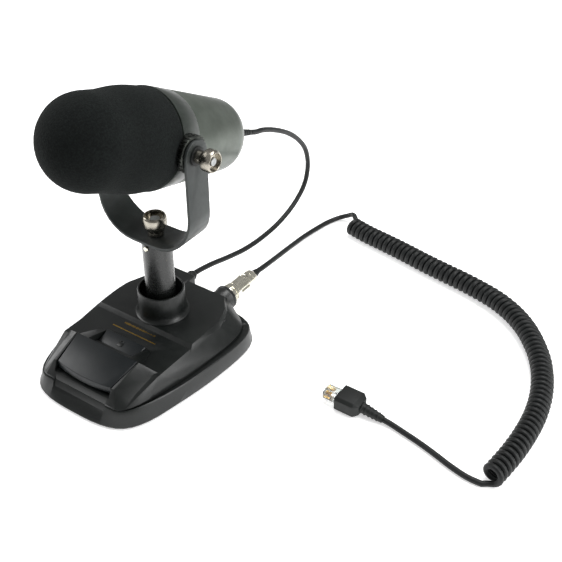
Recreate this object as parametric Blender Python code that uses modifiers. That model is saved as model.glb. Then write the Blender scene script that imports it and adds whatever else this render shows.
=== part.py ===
"""Desktop microphone: weighted base with a talk bar and a lock button, post, yoke and tilting head.

Metres, +Z up, the talk bar towards -Y. Plan sizes are measured from the post's axis, and the whole
assembly is then moved along Y so that its footprint is centred on the origin.
"""

import math

import bmesh
import bpy
from mathutils import Matrix, Vector

MM = 0.001
GAP = 0.3 * MM  # clearance between pieces that touch

# Base
BASE_HALF_WIDTH = 69.8 * MM
BASE_FRONT = 113.0 * MM  # from the post's axis to the front edge
BASE_REAR = 52.0 * MM
FOOT_H = 0.8 * MM
FOOT_R = 7.0 * MM
TRAY_TOP = 16.3 * MM
TRAY_FLOOR = 5.0 * MM
LEDGE_DROP = 1.6 * MM  # slope of the tray's ledge down towards the cover, none at the front
COVER_WALL = 2.4 * MM
RIDGE_Z = 17.0 * MM
DECK_Z = 30.2 * MM  # deck beside the lock button
PLATEAU_Z = 33.0 * MM  # deck round the post
DECK_HALF_WIDTH = 50.3 * MM
CHIN_HALF_WIDTH = 27.0 * MM
BALLAST_TOP = 11.0 * MM

# Talk bar and lock button
BAR_FRONT = -96.0 * MM
BAR_REAR = -68.2 * MM
BAR_BULGE = 3.0 * MM
BAR_FRONT_HALF = 28.0 * MM
BAR_REAR_HALF = 31.8 * MM
BAR_FRONT_Z = 30.0 * MM
BAR_REAR_Z = 38.5 * MM
BAR_BOTTOM_Z = 23.6 * MM
SLOT_Z = 21.7 * MM  # top of the panel under the bar
BAR_PIN_R = 1.5 * MM
BAR_PIN_Y = -71.5 * MM
BAR_PIN_Z = 27.2 * MM
BAR_SPRING_Y = -91.0 * MM
LOCK_FRONT = -59.2 * MM
LOCK_REAR = -45.5 * MM
LOCK_HALF = 21.0 * MM
LOCK_FRONT_Z = 28.9 * MM
LOCK_REAR_Z = 32.7 * MM
LOCK_BOTTOM_Z = 24.0 * MM
RIB_WIDTH = 4.9 * MM  # walls beside the lock button
SPRING_R = 3.2 * MM
SPRING_WIRE = 1.0 * MM

# Post
POST_R = 12.5 * MM
POST_WALL = 2.0 * MM
POST_TOP = 106.6 * MM
COLLAR_R = 19.7 * MM
COLLAR_WALL = 1.7 * MM
COLLAR_FLARE_R = 23.5 * MM
COLLAR_TOP = 56.4 * MM
STUD_R = 4.0 * MM
YOKE_KNOB_R = 9.7 * MM
YOKE_KNOB_TOP = 127.0 * MM

# Yoke
PIVOT_Z = 194.5 * MM
YOKE_HALF = 47.05 * MM  # to the outer faces of the arms
YOKE_WIDTH = 24.6 * MM
YOKE_FLARE = 3.0 * MM  # the strap is wider by this on each side under the head
YOKE_T = 2.34 * MM
YOKE_CORNER = 36.0 * MM
PIVOT_STUD_R = 3.0 * MM
WASHER_R = 7.6 * MM
WASHER_T = 1.0 * MM
TILT_KNOB_R = 8.6 * MM
TILT_KNOB_L = 15.6 * MM

# Head, along its own axis from the pivot, towards the cable end
HEAD_TILT = math.radians(21.4)
FOAM_FRONT = -101.5 * MM
FOAM_DOME = 35.0 * MM
FOAM_FRONT_R = 35.9 * MM
FOAM_REAR_R = 39.4 * MM
FOAM_BELLY = (40.4 * MM, -30.0 * MM)  # widest radius of the foam, and where it is
RING_FRONT = -6.1 * MM
RING_REAR = 15.9 * MM
BODY_FRONT_R = 39.7 * MM
BODY_REAR = 78.7 * MM
BODY_REAR_R = 30.4 * MM
BODY_END = 102.8 * MM
BODY_WALL = 2.2 * MM
BASKET_R = 32.0 * MM
BASKET_FRONT = -72.0 * MM
CAPSULE_R = 13.0 * MM
ROSETTE_R = 14.5 * MM
GLAND_R = 3.75 * MM
GLAND_TIP = 138.9 * MM
LEAD_R = 2.4 * MM

# Round connector, coiled cord and modular plug
SOCKET_X = 24.5 * MM
SOCKET_Z = 21.0 * MM
SOCKET_R = 10.4 * MM
SOCKET_END = 57.0 * MM
RING_R = 8.6 * MM
RING_END = 66.5 * MM
SHELL_R = 7.7 * MM
SHELL_END = 84.0 * MM
CLAMP_END = 95.0 * MM
SLEEVE_END = 103.0 * MM
BASE_GLAND_X = -14.0 * MM
BASE_GLAND_Z = 28.4 * MM
BASE_GLAND_END = 60.0 * MM
COIL_R = 9.35 * MM
CORD_R = 2.4 * MM
BOOT_NOSE = (167.3 * MM, 16.6 * MM, 7.3 * MM)  # centre of the boot's front face
BOOT_SIZE = (16.5 * MM, 20.4 * MM, 14.2 * MM)
BOOT_TAIL = 23.0 * MM
TAIL_DROOP = math.radians(8.0)  # the boot's tail leans down to the table
PLUG_SIZE = (13.0 * MM, 11.7 * MM, 6.6 * MM)

# Right halves of the plan outlines, front to rear: share of the half width, and distance in front (+) or
# behind (-) as a share of the front or rear length.
FOOT_LINE = (
    (0.0, 1.0),
    (0.387, 0.987),
    (0.652, 0.922),
    (0.809, 0.765),
    (0.900, 0.504),
    (0.970, 0.215),
    (1.0, -0.19),
    (0.967, -0.63),
    (0.828, -0.875),
    (0.479, -0.977),
    (0.0, -1.0),
)
RIM_LINE = (
    (0.0, 0.928),
    (0.387, 0.926),
    (0.590, 0.908),
    (0.735, 0.785),
    (0.872, 0.504),
    (0.943, 0.215),
    (0.976, -0.19),
    (0.944, -0.61),
    (0.806, -0.845),
    (0.465, -0.947),
    (0.0, -0.968),
)
SEAT_LINE = (
    (0.0, 0.917),
    (0.380, 0.915),
    (0.578, 0.900),
    (0.700, 0.775),
    (0.797, 0.504),
    (0.860, 0.215),
    (0.892, -0.19),
    (0.858, -0.56),
    (0.730, -0.80),
    (0.430, -0.91),
    (0.0, -0.94),
)

REAR_REACH = GLAND_TIP * math.cos(HEAD_TILT) + 2.4 * MM * math.sin(HEAD_TILT)
POST_Y = (BASE_FRONT - REAR_REACH) / 2

# Cord routes, in millimetres from the post's axis
LINK_ROUTE = (
    (-0.9, 149.2, 137.2),
    (-1.9, 169.7, 128.1),
    (-2.8, 194.3, 113.5),
    (-3.7, 213.0, 97.6),
    (-4.7, 225.6, 81.7),
    (-5.6, 231.5, 61.8),
    (-6.5, 227.6, 42.4),
    (-7.5, 212.4, 28.0),
    (-8.4, 188.6, 18.6),
    (-9.4, 161.3, 14.9),
    (-10.5, 133.2, 15.6),
    (-11.7, 106.8, 20.2),
    (-13.0, 84.0, 25.2),
)
LINK_SPLIT = 0.5  # share of the route on the head's side
LEAD_1_ROUTE = (
    (24.9, 112.0, 20.6),
    (23.2, 127.2, 17.8),
    (19.9, 147.4, 13.0),
    (16.6, 172.7, 8.0),
    (14.7, 197.1, 4.2),
    (15.9, 217.2, 2.7),
    (19.1, 234.3, 2.6),
    (25.0, 246.4, 3.6),
    (32.6, 249.6, 7.0),
    (39.4, 247.6, 11.6),
    (44.4, 243.6, 12.6),
)
COIL_ROUTE = (
    (47.2, 232.6, 9.5),
    (69.2, 227.6, 9.5),
    (91.4, 224.4, 9.5),
    (114.4, 220.6, 9.5),
    (137.0, 216.2, 9.5),
    (158.6, 212.8, 9.5),
    (179.4, 209.8, 9.5),
    (199.6, 205.8, 9.5),
    (218.6, 200.4, 9.5),
    (237.2, 191.4, 9.5),
    (253.6, 179.4, 9.5),
    (268.0, 164.4, 9.5),
    (280.4, 147.8, 9.5),
    (290.6, 128.8, 9.5),
    (298.0, 109.2, 9.5),
    (302.6, 90.0, 9.5),
    (305.0, 71.6, 9.5),
    (305.8, 52.6, 9.5),
    (305.4, 34.4, 9.5),
    (304.0, 18.0, 9.5),
    (302.6, 5.2, 9.5),
)
LEAD_2_ROUTE = (
    (302.4, 1.6, 2.6),
    (295.4, 1.1, 2.6),
    (285.1, 0.8, 2.6),
    (271.5, 3.5, 2.6),
    (257.0, 7.6, 2.6),
    (242.3, 11.4, 2.6),
    (227.1, 14.3, 2.8),
)

COLOURS = {
    "foam": ((0.010, 0.012, 0.011), 0.95, 0.0),
    "housing": ((0.060, 0.068, 0.063), 0.38, 0.35),
    "dark_metal": ((0.035, 0.040, 0.037), 0.42, 0.3),
    "yoke_paint": ((0.085, 0.090, 0.090), 0.45, 0.3),
    "nickel": ((0.62, 0.60, 0.54), 0.22, 1.0),
    "steel": ((0.45, 0.45, 0.44), 0.35, 1.0),
    "base_plastic": ((0.022, 0.026, 0.024), 0.42, 0.0),
    "button_plastic": ((0.045, 0.052, 0.050), 0.36, 0.0),
    "gloss_black": ((0.012, 0.013, 0.013), 0.15, 0.0),
    "rubber": ((0.015, 0.015, 0.015), 0.75, 0.0),
    "cord_pvc": ((0.022, 0.023, 0.023), 0.40, 0.0),
    "clear_plastic": ((0.80, 0.82, 0.84), 0.08, 0.0),
    "board": ((0.02, 0.16, 0.07), 0.5, 0.0),
    "mesh_metal": ((0.28, 0.28, 0.28), 0.4, 1.0),
}


def clear_scene():
    for obj in list(bpy.data.objects):
        bpy.data.objects.remove(obj)


def make_collection(name):
    collection = bpy.data.collections.new(name)
    bpy.context.scene.collection.children.link(collection)
    return collection


def make_material(name, colour, roughness, metallic):
    material = bpy.data.materials.new(name)
    material.use_nodes = True
    shader = material.node_tree.nodes["Principled BSDF"]
    shader.inputs["Base Color"].default_value = (*colour, 1.0)
    shader.inputs["Roughness"].default_value = roughness
    shader.inputs["Metallic"].default_value = metallic
    return material


clear_scene()
PARTS = make_collection("desktop_microphone")
CUTTERS = make_collection("cutters")
MATERIALS = {name: make_material(name, *values) for name, values in COLOURS.items()}


# Building blocks


def add_empty(name, place, parent=None):
    empty = bpy.data.objects.new(name, None)
    PARTS.objects.link(empty)
    empty.parent = parent
    empty.matrix_basis = place
    return empty


def add_object(name, data, material, parent, place):
    """A part, or a cutter where no material is named."""
    obj = bpy.data.objects.new(name, data)
    if material:
        data.materials.append(MATERIALS[material])
        PARTS.objects.link(obj)
    else:
        CUTTERS.objects.link(obj)
        obj.hide_render = True
        obj.display_type = "WIRE"
    obj.parent = parent
    obj.matrix_basis = place
    return obj


def add_bmesh(name, bm, material, parent, place):
    bmesh.ops.recalc_face_normals(bm, faces=bm.faces)
    mesh = bpy.data.meshes.new(name)
    bm.to_mesh(mesh)
    bm.free()
    return add_object(name, mesh, material, parent, place)


def turned(name, profile, material, parent, place=Matrix(), steps=32):
    """A profile of (radius, height) pairs, down its outer side, turned about Z. It closes on itself as a
    ring unless it starts on the axis."""
    ring = profile[0][0] > 0
    count = len(profile)
    mesh = bpy.data.meshes.new(name)
    points = [(radius, 0.0, height) for radius, height in profile]
    edges = [(i, (i + 1) % count) for i in range(count if ring else count - 1)]
    mesh.from_pydata(points, edges, [])
    obj = add_object(name, mesh, material, parent, place)
    screw = obj.modifiers.new("turn", "SCREW")
    screw.steps = steps
    screw.render_steps = steps
    screw.use_merge_vertices = True
    screw.merge_threshold = 0.01 * MM
    screw.use_smooth_shade = True
    return obj


def rod(name, radius, low, high, material, parent, place=Matrix(), segments=24):
    bm = bmesh.new()
    lift = Matrix.Translation((0, 0, (low + high) / 2))
    bmesh.ops.create_cone(
        bm, cap_ends=True, segments=segments, radius1=radius, radius2=radius, depth=high - low, matrix=lift
    )
    return add_bmesh(name, bm, material, parent, place)


def block(name, low, high, material, parent, bevel=0.0, place=Matrix()):
    low = Vector(low)
    high = Vector(high)
    bm = bmesh.new()
    bmesh.ops.create_cube(bm, size=1.0)
    bmesh.ops.scale(bm, vec=high - low, verts=bm.verts)
    bmesh.ops.translate(bm, vec=(low + high) / 2, verts=bm.verts)
    obj = add_bmesh(name, bm, material, parent, place)
    if bevel:
        add_bevel(obj, bevel)
    return obj


def add_bevel(obj, width, segments=2):
    bevel = obj.modifiers.new("edges", "BEVEL")
    bevel.width = width
    bevel.segments = segments
    bevel.limit_method = "ANGLE"
    bevel.angle_limit = math.radians(40)


def hull(name, points, material, parent):
    """The convex solid round a set of points."""
    bm = bmesh.new()
    for point in points:
        bm.verts.new(point)
    result = bmesh.ops.convex_hull(bm, input=bm.verts)
    inside = {item for item in result["geom_interior"] if isinstance(item, bmesh.types.BMVert)}
    bmesh.ops.delete(bm, geom=list(inside), context="VERTS")
    return add_bmesh(name, bm, material, parent, Matrix())


def loft(name, loops, material, parent):
    """A skin over loops of equal count, closed by a flat face on the first and on the last."""
    bm = bmesh.new()
    rows = [[bm.verts.new(point) for point in loop] for loop in loops]
    count = len(rows[0])
    for lower, upper in zip(rows, rows[1:]):
        for i in range(count):
            j = (i + 1) % count
            bm.faces.new((lower[i], lower[j], upper[j], upper[i]))
    bm.faces.new(rows[0])
    bm.faces.new(rows[-1])
    return add_bmesh(name, bm, material, parent, Matrix())


def boolean(obj, other, operation="DIFFERENCE"):
    modifier = obj.modifiers.new(other.name, "BOOLEAN")
    modifier.operation = operation
    modifier.solver = "EXACT"
    modifier.object = other


def spline_points(points, spacing):
    """Points at about the given spacing on a smooth curve through the given ones."""
    points = [Vector(point) for point in points]
    ends = [points[0] * 2 - points[1], *points, points[-1] * 2 - points[-2]]
    fine = []
    for p0, p1, p2, p3 in zip(ends, ends[1:], ends[2:], ends[3:]):
        for step in range(12):
            t = step / 12
            slope = (p2 - p0) * t
            bend = (p0 * 2 - p1 * 5 + p2 * 4 - p3) * t**2
            twist = (p1 * 3 - p0 - p2 * 3 + p3) * t**3
            fine.append(p1 + (slope + bend + twist) / 2)
    fine.append(points[-1])
    lengths = [0.0]
    for a, b in zip(fine, fine[1:]):
        lengths.append(lengths[-1] + (b - a).length)
    count = max(2, round(lengths[-1] / spacing))
    picked = []
    index = 0
    for i in range(count + 1):
        target = lengths[-1] * i / count
        while index < len(fine) - 2 and lengths[index + 1] < target:
            index += 1
        share = (target - lengths[index]) / (lengths[index + 1] - lengths[index])
        picked.append(fine[index].lerp(fine[index + 1], min(share, 1.0)))
    return picked


def tube(name, points, radius, material, parent, resolution=2):
    curve = bpy.data.curves.new(name, "CURVE")
    curve.dimensions = "3D"
    curve.bevel_depth = radius
    curve.bevel_resolution = resolution
    curve.use_fill_caps = True
    spline = curve.splines.new("POLY")
    spline.points.add(len(points) - 1)
    for point, place in zip(spline.points, points):
        point.co = (*place, 1.0)
    return add_object(name, curve, material, parent, Matrix())


def along(origin, direction):
    """The place of a shape made along Z that lies along another direction."""
    turn = Vector(direction).to_track_quat("Z", "Y").to_matrix().to_4x4()
    return Matrix.Translation(origin) @ turn


def millimetres(points):
    return [Vector(point) * MM for point in points]


# Joint frames

ASSEMBLY = add_empty("assembly", Matrix.Translation((0, POST_Y, 0)))
YOKE_AXIS = add_empty("yoke_axis", Matrix.Translation((0, 0, POST_TOP + GAP)), ASSEMBLY)
PIVOT_UP = PIVOT_Z - POST_TOP - GAP
TILT_AXIS = add_empty(
    "tilt_axis",
    Matrix.Translation((0, 0, PIVOT_UP)) @ Matrix.Rotation(-math.pi / 2 - HEAD_TILT, 4, "X"),
    YOKE_AXIS,
)
BAR_AXIS = add_empty("bar_axis", Matrix.Translation((0, BAR_PIN_Y, BAR_PIN_Z)), ASSEMBLY)
LOCK_AXIS = add_empty(
    "lock_axis", Matrix.Translation((0, (LOCK_FRONT + LOCK_REAR) / 2, LOCK_BOTTOM_Z)), ASSEMBLY
)
CONNECTOR_AXIS = add_empty("connector_axis", along((SOCKET_X, 0, SOCKET_Z), (0, 1, 0)), ASSEMBLY)


def from_axis(empty, points):
    """Points given from the post's axis, seen from a joint's empty that is only moved."""
    return [Vector(point) - empty.matrix_basis.translation for point in points]


# Base


def plan_outline(line, inset, height):
    """One of the base's outlines in plan as a smooth loop, moved inwards. The height is a number or a
    function of the distance along Y."""
    half = []
    for share, along_y in line:
        length = BASE_FRONT if along_y > 0 else BASE_REAR
        half.append((share * BASE_HALF_WIDTH, -along_y * length))
    keys = half + [(-x, y) for x, y in half[-2:0:-1]]
    keys = [Vector((x, y, 0)) for x, y in keys]
    count = len(keys)
    loop = []
    for i in range(count):
        p0, p1, p2, p3 = (keys[(i + k) % count] for k in (-1, 0, 1, 2))
        for t in (0.0, 1 / 3, 2 / 3):
            bend = (p0 * 2 - p1 * 5 + p2 * 4 - p3) * t**2 + (p1 * 3 - p0 - p2 * 3 + p3) * t**3
            loop.append(p1 + ((p2 - p0) * t + bend) / 2)
    moved = []
    for before, point, after in zip(loop[-1:] + loop, loop, loop[1:] + loop[:1]):
        run = (after - before).normalized()
        place = point + Vector((-run.y, run.x, 0)) * inset
        moved.append((place.x, place.y, height(place.y) if callable(height) else height))
    return moved


def between(lower, upper, share, height):
    return [(*Vector(a[:2]).lerp(b[:2], share), height) for a, b in zip(lower, upper)]


def ledge_z(y):
    """Height of the tray's ledge at the cover: level with the rim at the front, lower further back."""
    share = min(max((y + BASE_FRONT * 0.93) / (BASE_FRONT * 0.2), 0.0), 1.0)
    return TRAY_TOP - LEDGE_DROP * share


def lip_z(y):
    return ledge_z(y) + GAP


def mirrored(points):
    return [(side * x, y, z) for x, y, z in points for side in (-1, 1)]


def screw_places():
    return [(side * 38 * MM, -84 * MM) for side in (-1, 1)] + [(side * 46 * MM, 20 * MM) for side in (-1, 1)]


def chin_cutter():
    """The slope in front of the talk bar, through the tray and the cover."""
    section = (
        (-BASE_FRONT - 5 * MM, FOOT_H + 3.6 * MM),
        (-BASE_FRONT + 0.2 * MM, FOOT_H + 3.6 * MM),
        (-BASE_FRONT + 8.0 * MM, 10.9 * MM),
        (-BASE_FRONT + 12.9 * MM, SLOT_Z + 1.0 * MM),
        (-BASE_FRONT - 5 * MM, SLOT_Z + 1.0 * MM),
    )
    return hull("chin_cut", mirrored([(CHIN_HALF_WIDTH, y, z) for y, z in section]), None, ASSEMBLY)


def socket_cutter():
    return rod("socket_cut", SOCKET_R + GAP, 34 * MM, 62 * MM, None, CONNECTOR_AXIS)


def base_tray(chin, socket):
    bottom = FOOT_H + GAP
    foot = plan_outline(FOOT_LINE, 0.0, bottom + 1.9 * MM)
    rim = plan_outline(RIM_LINE, 0.0, TRAY_TOP - 1.0 * MM)
    loops = [
        plan_outline(FOOT_LINE, 1.4 * MM, bottom),
        plan_outline(FOOT_LINE, 0.3 * MM, bottom + 0.7 * MM),
        foot,
        between(foot, rim, 0.75, 10.9 * MM),
        rim,
        plan_outline(RIM_LINE, 0.7 * MM, TRAY_TOP),
        plan_outline(SEAT_LINE, -0.2 * MM, ledge_z),
        plan_outline(SEAT_LINE, COVER_WALL + 1.0 * MM, ledge_z),
        plan_outline(SEAT_LINE, COVER_WALL + 1.0 * MM, TRAY_FLOOR),
    ]
    tray = loft("base_tray", loops, "base_plastic", ASSEMBLY)
    boolean(tray, chin)
    boolean(tray, socket)
    for number, (x, y) in enumerate(screw_places()):
        place = Matrix.Translation((x, y, 0))
        boolean(tray, rod(f"screw_hole_{number}", 1.9 * MM, 0, 8 * MM, None, ASSEMBLY, place, 12))
        boolean(tray, rod(f"screw_seat_{number}", 3.5 * MM, 0, 3.3 * MM, None, ASSEMBLY, place, 16))


def cover_block(name, inset, material):
    """The cover's lower body: a lip on the tray, then slopes up to the deck. The inset gives its hollow."""
    low = TRAY_FLOOR if inset else lip_z
    loops = plan_outline(SEAT_LINE, inset, low) + plan_outline(SEAT_LINE, inset, RIDGE_Z)
    front = BAR_FRONT - BAR_BULGE + inset
    if inset:
        loops = [point for point in loops if point[1] > front]
    width = DECK_HALF_WIDTH - inset
    rear = BASE_REAR * 0.88 - inset
    top = [(width, -66 * MM), (width, 12 * MM), (width - 6 * MM, rear - 14 * MM), (width - 17 * MM, rear)]
    deck = mirrored([(x, y, DECK_Z - inset) for x, y in top])
    if inset:
        nose = BAR_FRONT_HALF - 2 * MM
        deck += mirrored([(nose, front + 0.6 * MM, low), (nose, front + 0.6 * MM, SLOT_Z - 2.7 * MM)])
        deck += mirrored([(nose, front + 3 * MM, SLOT_Z + 2 * MM)])
    return hull(name, loops + deck, material, ASSEMBLY)


def cheek_block():
    """The raised block that the talk bar sits in."""
    ridge = plan_outline(SEAT_LINE, 0.4 * MM, RIDGE_Z - 0.2 * MM)
    front = [point for point in ridge if point[1] < -60 * MM]
    rim = mirrored(
        [
            (BAR_FRONT_HALF + 4 * MM, BAR_FRONT - 0.4 * MM, BAR_FRONT_Z),
            (BAR_REAR_HALF + 1.8 * MM, BAR_REAR, BAR_REAR_Z - 0.6 * MM),
            (DECK_HALF_WIDTH, -61 * MM, DECK_Z - 2 * MM),
        ]
    )
    return hull("cheeks", front + rim, None, ASSEMBLY)


def plateau_block():
    width = DECK_HALF_WIDTH
    rear = BASE_REAR * 0.88
    low = [(width + 3 * MM, -30 * MM), (width + 3 * MM, 12 * MM), (width - 4 * MM, rear - 12 * MM)]
    low.append((width - 16 * MM, rear))
    high = [(width - 0.5 * MM, -22.6 * MM), (width - 0.5 * MM, 12 * MM), (width - 7 * MM, rear - 16 * MM)]
    high.append((width - 18 * MM, rear - 2.5 * MM))
    points = [(x, y, 26 * MM) for x, y in low] + [(x, y, PLATEAU_Z) for x, y in high]
    return hull("plateau", mirrored(points), None, ASSEMBLY)


def rib_block(side):
    """The short wall that rises from the deck beside the lock button to the cheek."""
    inner = LOCK_HALF + 0.5 * MM
    points = []
    for x in (inner, inner + RIB_WIDTH):
        points += [(x, LOCK_REAR - 0.5 * MM, DECK_Z - 3 * MM), (x, LOCK_REAR - 0.5 * MM, DECK_Z + 0.8 * MM)]
    for x in (inner, inner + 2 * RIB_WIDTH):
        points += [(x, BAR_REAR + 0.5 * MM, DECK_Z - 3 * MM), (x, BAR_REAR + 0.5 * MM, BAR_REAR_Z - 1.5 * MM)]
    name = "rib_right" if side > 0 else "rib_left"
    return hull(name, [(side * x, y, z) for x, y, z in points], None, ASSEMBLY)


def bar_pocket():
    margin = 0.5 * MM
    points = []
    for z in (SLOT_Z, BAR_REAR_Z + 10 * MM):
        points.append((BAR_FRONT_HALF + margin, BAR_FRONT - 8 * MM, z))
        points.append((BAR_FRONT_HALF + margin, BAR_FRONT, z))
        points.append((BAR_REAR_HALF + margin, BAR_REAR + margin, z))
    return hull("bar_pocket", mirrored(points), None, ASSEMBLY)


def gland_place():
    return along((BASE_GLAND_X, 0, BASE_GLAND_Z), (0, 1, 0))


def base_cover(chin, socket):
    cover = cover_block("base_cover", 0.0, "base_plastic")
    boolean(cover, cheek_block(), "UNION")
    boolean(cover, plateau_block(), "UNION")
    hump = block(
        "lead_hump",
        (BASE_GLAND_X - 18 * MM, 30 * MM, RIDGE_Z + 3 * MM),
        (BASE_GLAND_X + 7 * MM, 53 * MM, PLATEAU_Z + 0.6 * MM),
        None,
        ASSEMBLY,
        1.5 * MM,
    )
    boolean(cover, hump, "UNION")
    for side in (-1, 1):
        boolean(cover, rib_block(side), "UNION")
    boolean(cover, cover_block("cover_hollow", COVER_WALL, None))
    for number, (x, y) in enumerate(screw_places()):
        place = Matrix.Translation((x, y, 0))
        top = 24 * MM if y < 0 else 29 * MM
        pillar = rod(f"pillar_{number}", 4 * MM, TRAY_FLOOR + GAP, top, None, ASSEMBLY, place, 16)
        boolean(cover, pillar, "UNION")
        boolean(cover, rod(f"pillar_hole_{number}", 1.9 * MM, 0, 18 * MM, None, ASSEMBLY, place, 12))
    boolean(cover, bar_pocket())
    boolean(cover, chin)
    pin_place = along((0, BAR_PIN_Y, BAR_PIN_Z), (1, 0, 0))
    pin_half = BAR_REAR_HALF + 3.4 * MM
    boolean(cover, rod("pin_hole", BAR_PIN_R + GAP, -pin_half, pin_half, None, ASSEMBLY, pin_place, 12))
    lock_hole = block(
        "lock_hole",
        (-LOCK_HALF - 0.5 * MM, LOCK_FRONT - 0.5 * MM, 20 * MM),
        (LOCK_HALF + 0.5 * MM, LOCK_REAR + 0.5 * MM, 45 * MM),
        None,
        ASSEMBLY,
    )
    boolean(cover, lock_hole)
    boolean(cover, rod("post_hole", POST_R + GAP, 20 * MM, 40 * MM, None, ASSEMBLY, segments=32))
    boolean(cover, socket)
    boolean(cover, rod("gland_hole", 3.3 * MM, 30 * MM, 70 * MM, None, ASSEMBLY, gland_place(), 16))
    lead_space = block(
        "lead_space",
        (BASE_GLAND_X - 4.3 * MM, 25 * MM, BASE_GLAND_Z - 8 * MM),
        (BASE_GLAND_X + 4.3 * MM, 50.6 * MM, BASE_GLAND_Z + 4.2 * MM),
        None,
        ASSEMBLY,
    )
    boolean(cover, lead_space)


def base_inside():
    floor = TRAY_FLOOR + GAP
    block("ballast_weight", (-36 * MM, -56 * MM, floor), (36 * MM, 14 * MM, BALLAST_TOP), "steel", ASSEMBLY)
    block("circuit_board", (-32 * MM, 16.5 * MM, 9 * MM), (12 * MM, 36 * MM, 10.6 * MM), "board", ASSEMBLY)
    block("talk_switch", (8 * MM, -90 * MM, floor), (20 * MM, -80 * MM, 21.6 * MM), "gloss_black", ASSEMBLY)
    low = BALLAST_TOP + GAP
    block("lock_switch", (8 * MM, -56 * MM, low), (18 * MM, -49 * MM, 21.4 * MM), "gloss_black", ASSEMBLY)
    for number, (x, y) in enumerate(screw_places()):
        profile = ((0, 16 * MM), (1.5 * MM, 16 * MM), (1.5 * MM, 3.0 * MM), (3.1 * MM, 3.0 * MM))
        profile += ((3.1 * MM, FOOT_H + 0.6 * MM), (0, FOOT_H + 0.6 * MM))
        place = Matrix.Translation((x, y, 0))
        turned(f"base_screw_{number + 1}", profile, "steel", ASSEMBLY, place, 12)
    for number, (x, y) in enumerate(mirrored_pairs(((48 * MM, -76 * MM), (54 * MM, 30 * MM)))):
        rod(f"foot_{number + 1}", FOOT_R, 0, FOOT_H, "rubber", ASSEMBLY, Matrix.Translation((x, y, 0)))


def mirrored_pairs(places):
    return [(side * x, y) for x, y in places for side in (-1, 1)]


# Talk bar and lock button


def talk_bar():
    top = [(BAR_FRONT_HALF, BAR_FRONT, BAR_FRONT_Z), (BAR_REAR_HALF, BAR_REAR, BAR_REAR_Z)]
    for share in (0.0, 0.35, 0.7):
        y = BAR_FRONT - BAR_BULGE * (1 - share**2)
        top.append((BAR_FRONT_HALF * share, y, BAR_FRONT_Z))
    points = top + [(x, y, BAR_BOTTOM_Z) for x, y, z in top]
    bar = hull("talk_bar", from_axis(BAR_AXIS, mirrored(points)), "button_plastic", BAR_AXIS)
    turn = along((0, 0, 0), (1, 0, 0))
    reach = BAR_REAR_HALF + 3 * MM
    boolean(bar, rod("bar_bore", BAR_PIN_R + GAP, -reach, reach, None, BAR_AXIS, turn, 12))
    place = along((0, BAR_PIN_Y, BAR_PIN_Z), (1, 0, 0))
    rod("talk_bar_pin", BAR_PIN_R, -reach, reach, "steel", ASSEMBLY, place, 12)


def spring(name, y, low, high):
    inner = SPRING_R - SPRING_WIRE
    profile = [(SPRING_R, high), (SPRING_R, low), (inner, low), (inner, high)]
    turned(name, profile, "steel", ASSEMBLY, Matrix.Translation((0, y, 0)), 16)


def lock_button():
    top = [(LOCK_HALF - 0.8 * MM, LOCK_FRONT, LOCK_FRONT_Z), (LOCK_HALF, LOCK_REAR, LOCK_REAR_Z)]
    points = top + [(x, y, LOCK_BOTTOM_Z) for x, y, z in top]
    hull("lock_button", from_axis(LOCK_AXIS, mirrored(points)), "button_plastic", LOCK_AXIS)


# Post


def post():
    under = POST_TOP - 2.4 * MM
    bore = POST_R - POST_WALL
    low = BALLAST_TOP + GAP
    profile = ((bore, under - GAP), (POST_R, under - GAP), (POST_R, low), (bore, low))
    tube_part = turned("post_tube", profile, "gloss_black", ASSEMBLY)
    screw_place = along((0, -POST_R, POST_TOP - 5.2 * MM), (0, -1, 0))
    boolean(tube_part, rod("set_screw_hole", 1.9 * MM, -5 * MM, 5 * MM, None, ASSEMBLY, screw_place, 12))
    profile = ((0, 1.3 * MM), (2.2 * MM, 1.3 * MM), (2.2 * MM, GAP), (1.6 * MM, GAP))
    profile += ((1.6 * MM, 0.3 * MM - POST_WALL), (0, 0.3 * MM - POST_WALL))
    turned("post_set_screw", profile, "nickel", ASSEMBLY, screw_place, 16)
    hole = STUD_R + GAP
    profile = ((hole, POST_TOP), (POST_R, POST_TOP), (POST_R, under), (bore - GAP, under))
    profile += ((bore - GAP, under - 12 * MM), (hole, under - 12 * MM))
    turned("post_bush", profile, "steel", ASSEMBLY)
    head = under - 12 * MM - GAP
    profile = ((0, 124 * MM), (STUD_R, 124 * MM), (STUD_R, head), (8 * MM, head))
    profile += ((8 * MM, head - 4 * MM), (0, head - 4 * MM))
    turned("post_stud", profile, "nickel", ASSEMBLY, steps=24)
    inner = POST_R + GAP
    top = DECK_Z - COVER_WALL - GAP
    profile = ((inner, top), (19 * MM, top), (19 * MM, top - 4 * MM), (inner, top - 4 * MM))
    turned("post_nut", profile, "steel", ASSEMBLY)
    foot = PLATEAU_Z + GAP
    profile = ((COLLAR_R - COLLAR_WALL, COLLAR_TOP), (COLLAR_R, COLLAR_TOP))
    profile += ((COLLAR_R + 0.5 * MM, foot + 6 * MM), (COLLAR_R + 1.6 * MM, foot + 2.4 * MM))
    profile += ((COLLAR_FLARE_R, foot), (COLLAR_R - COLLAR_WALL, foot))
    turned("post_collar", profile, "base_plastic", ASSEMBLY, steps=40)


def yoke_knob():
    low = POST_TOP + GAP + YOKE_T + GAP
    hole = STUD_R + GAP
    profile = ((YOKE_KNOB_R - 1.2 * MM, YOKE_KNOB_TOP), (YOKE_KNOB_R, YOKE_KNOB_TOP - 0.6 * MM))
    profile += ((YOKE_KNOB_R, YOKE_KNOB_TOP - 9 * MM), (6.4 * MM, low + 4 * MM), (6.4 * MM, low))
    profile += ((hole, low), (hole, YOKE_KNOB_TOP - 5 * MM), (YOKE_KNOB_R - 1.8 * MM, YOKE_KNOB_TOP - 5 * MM))
    turned("yoke_knob", profile, "nickel", ASSEMBLY)


# Yoke


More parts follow.
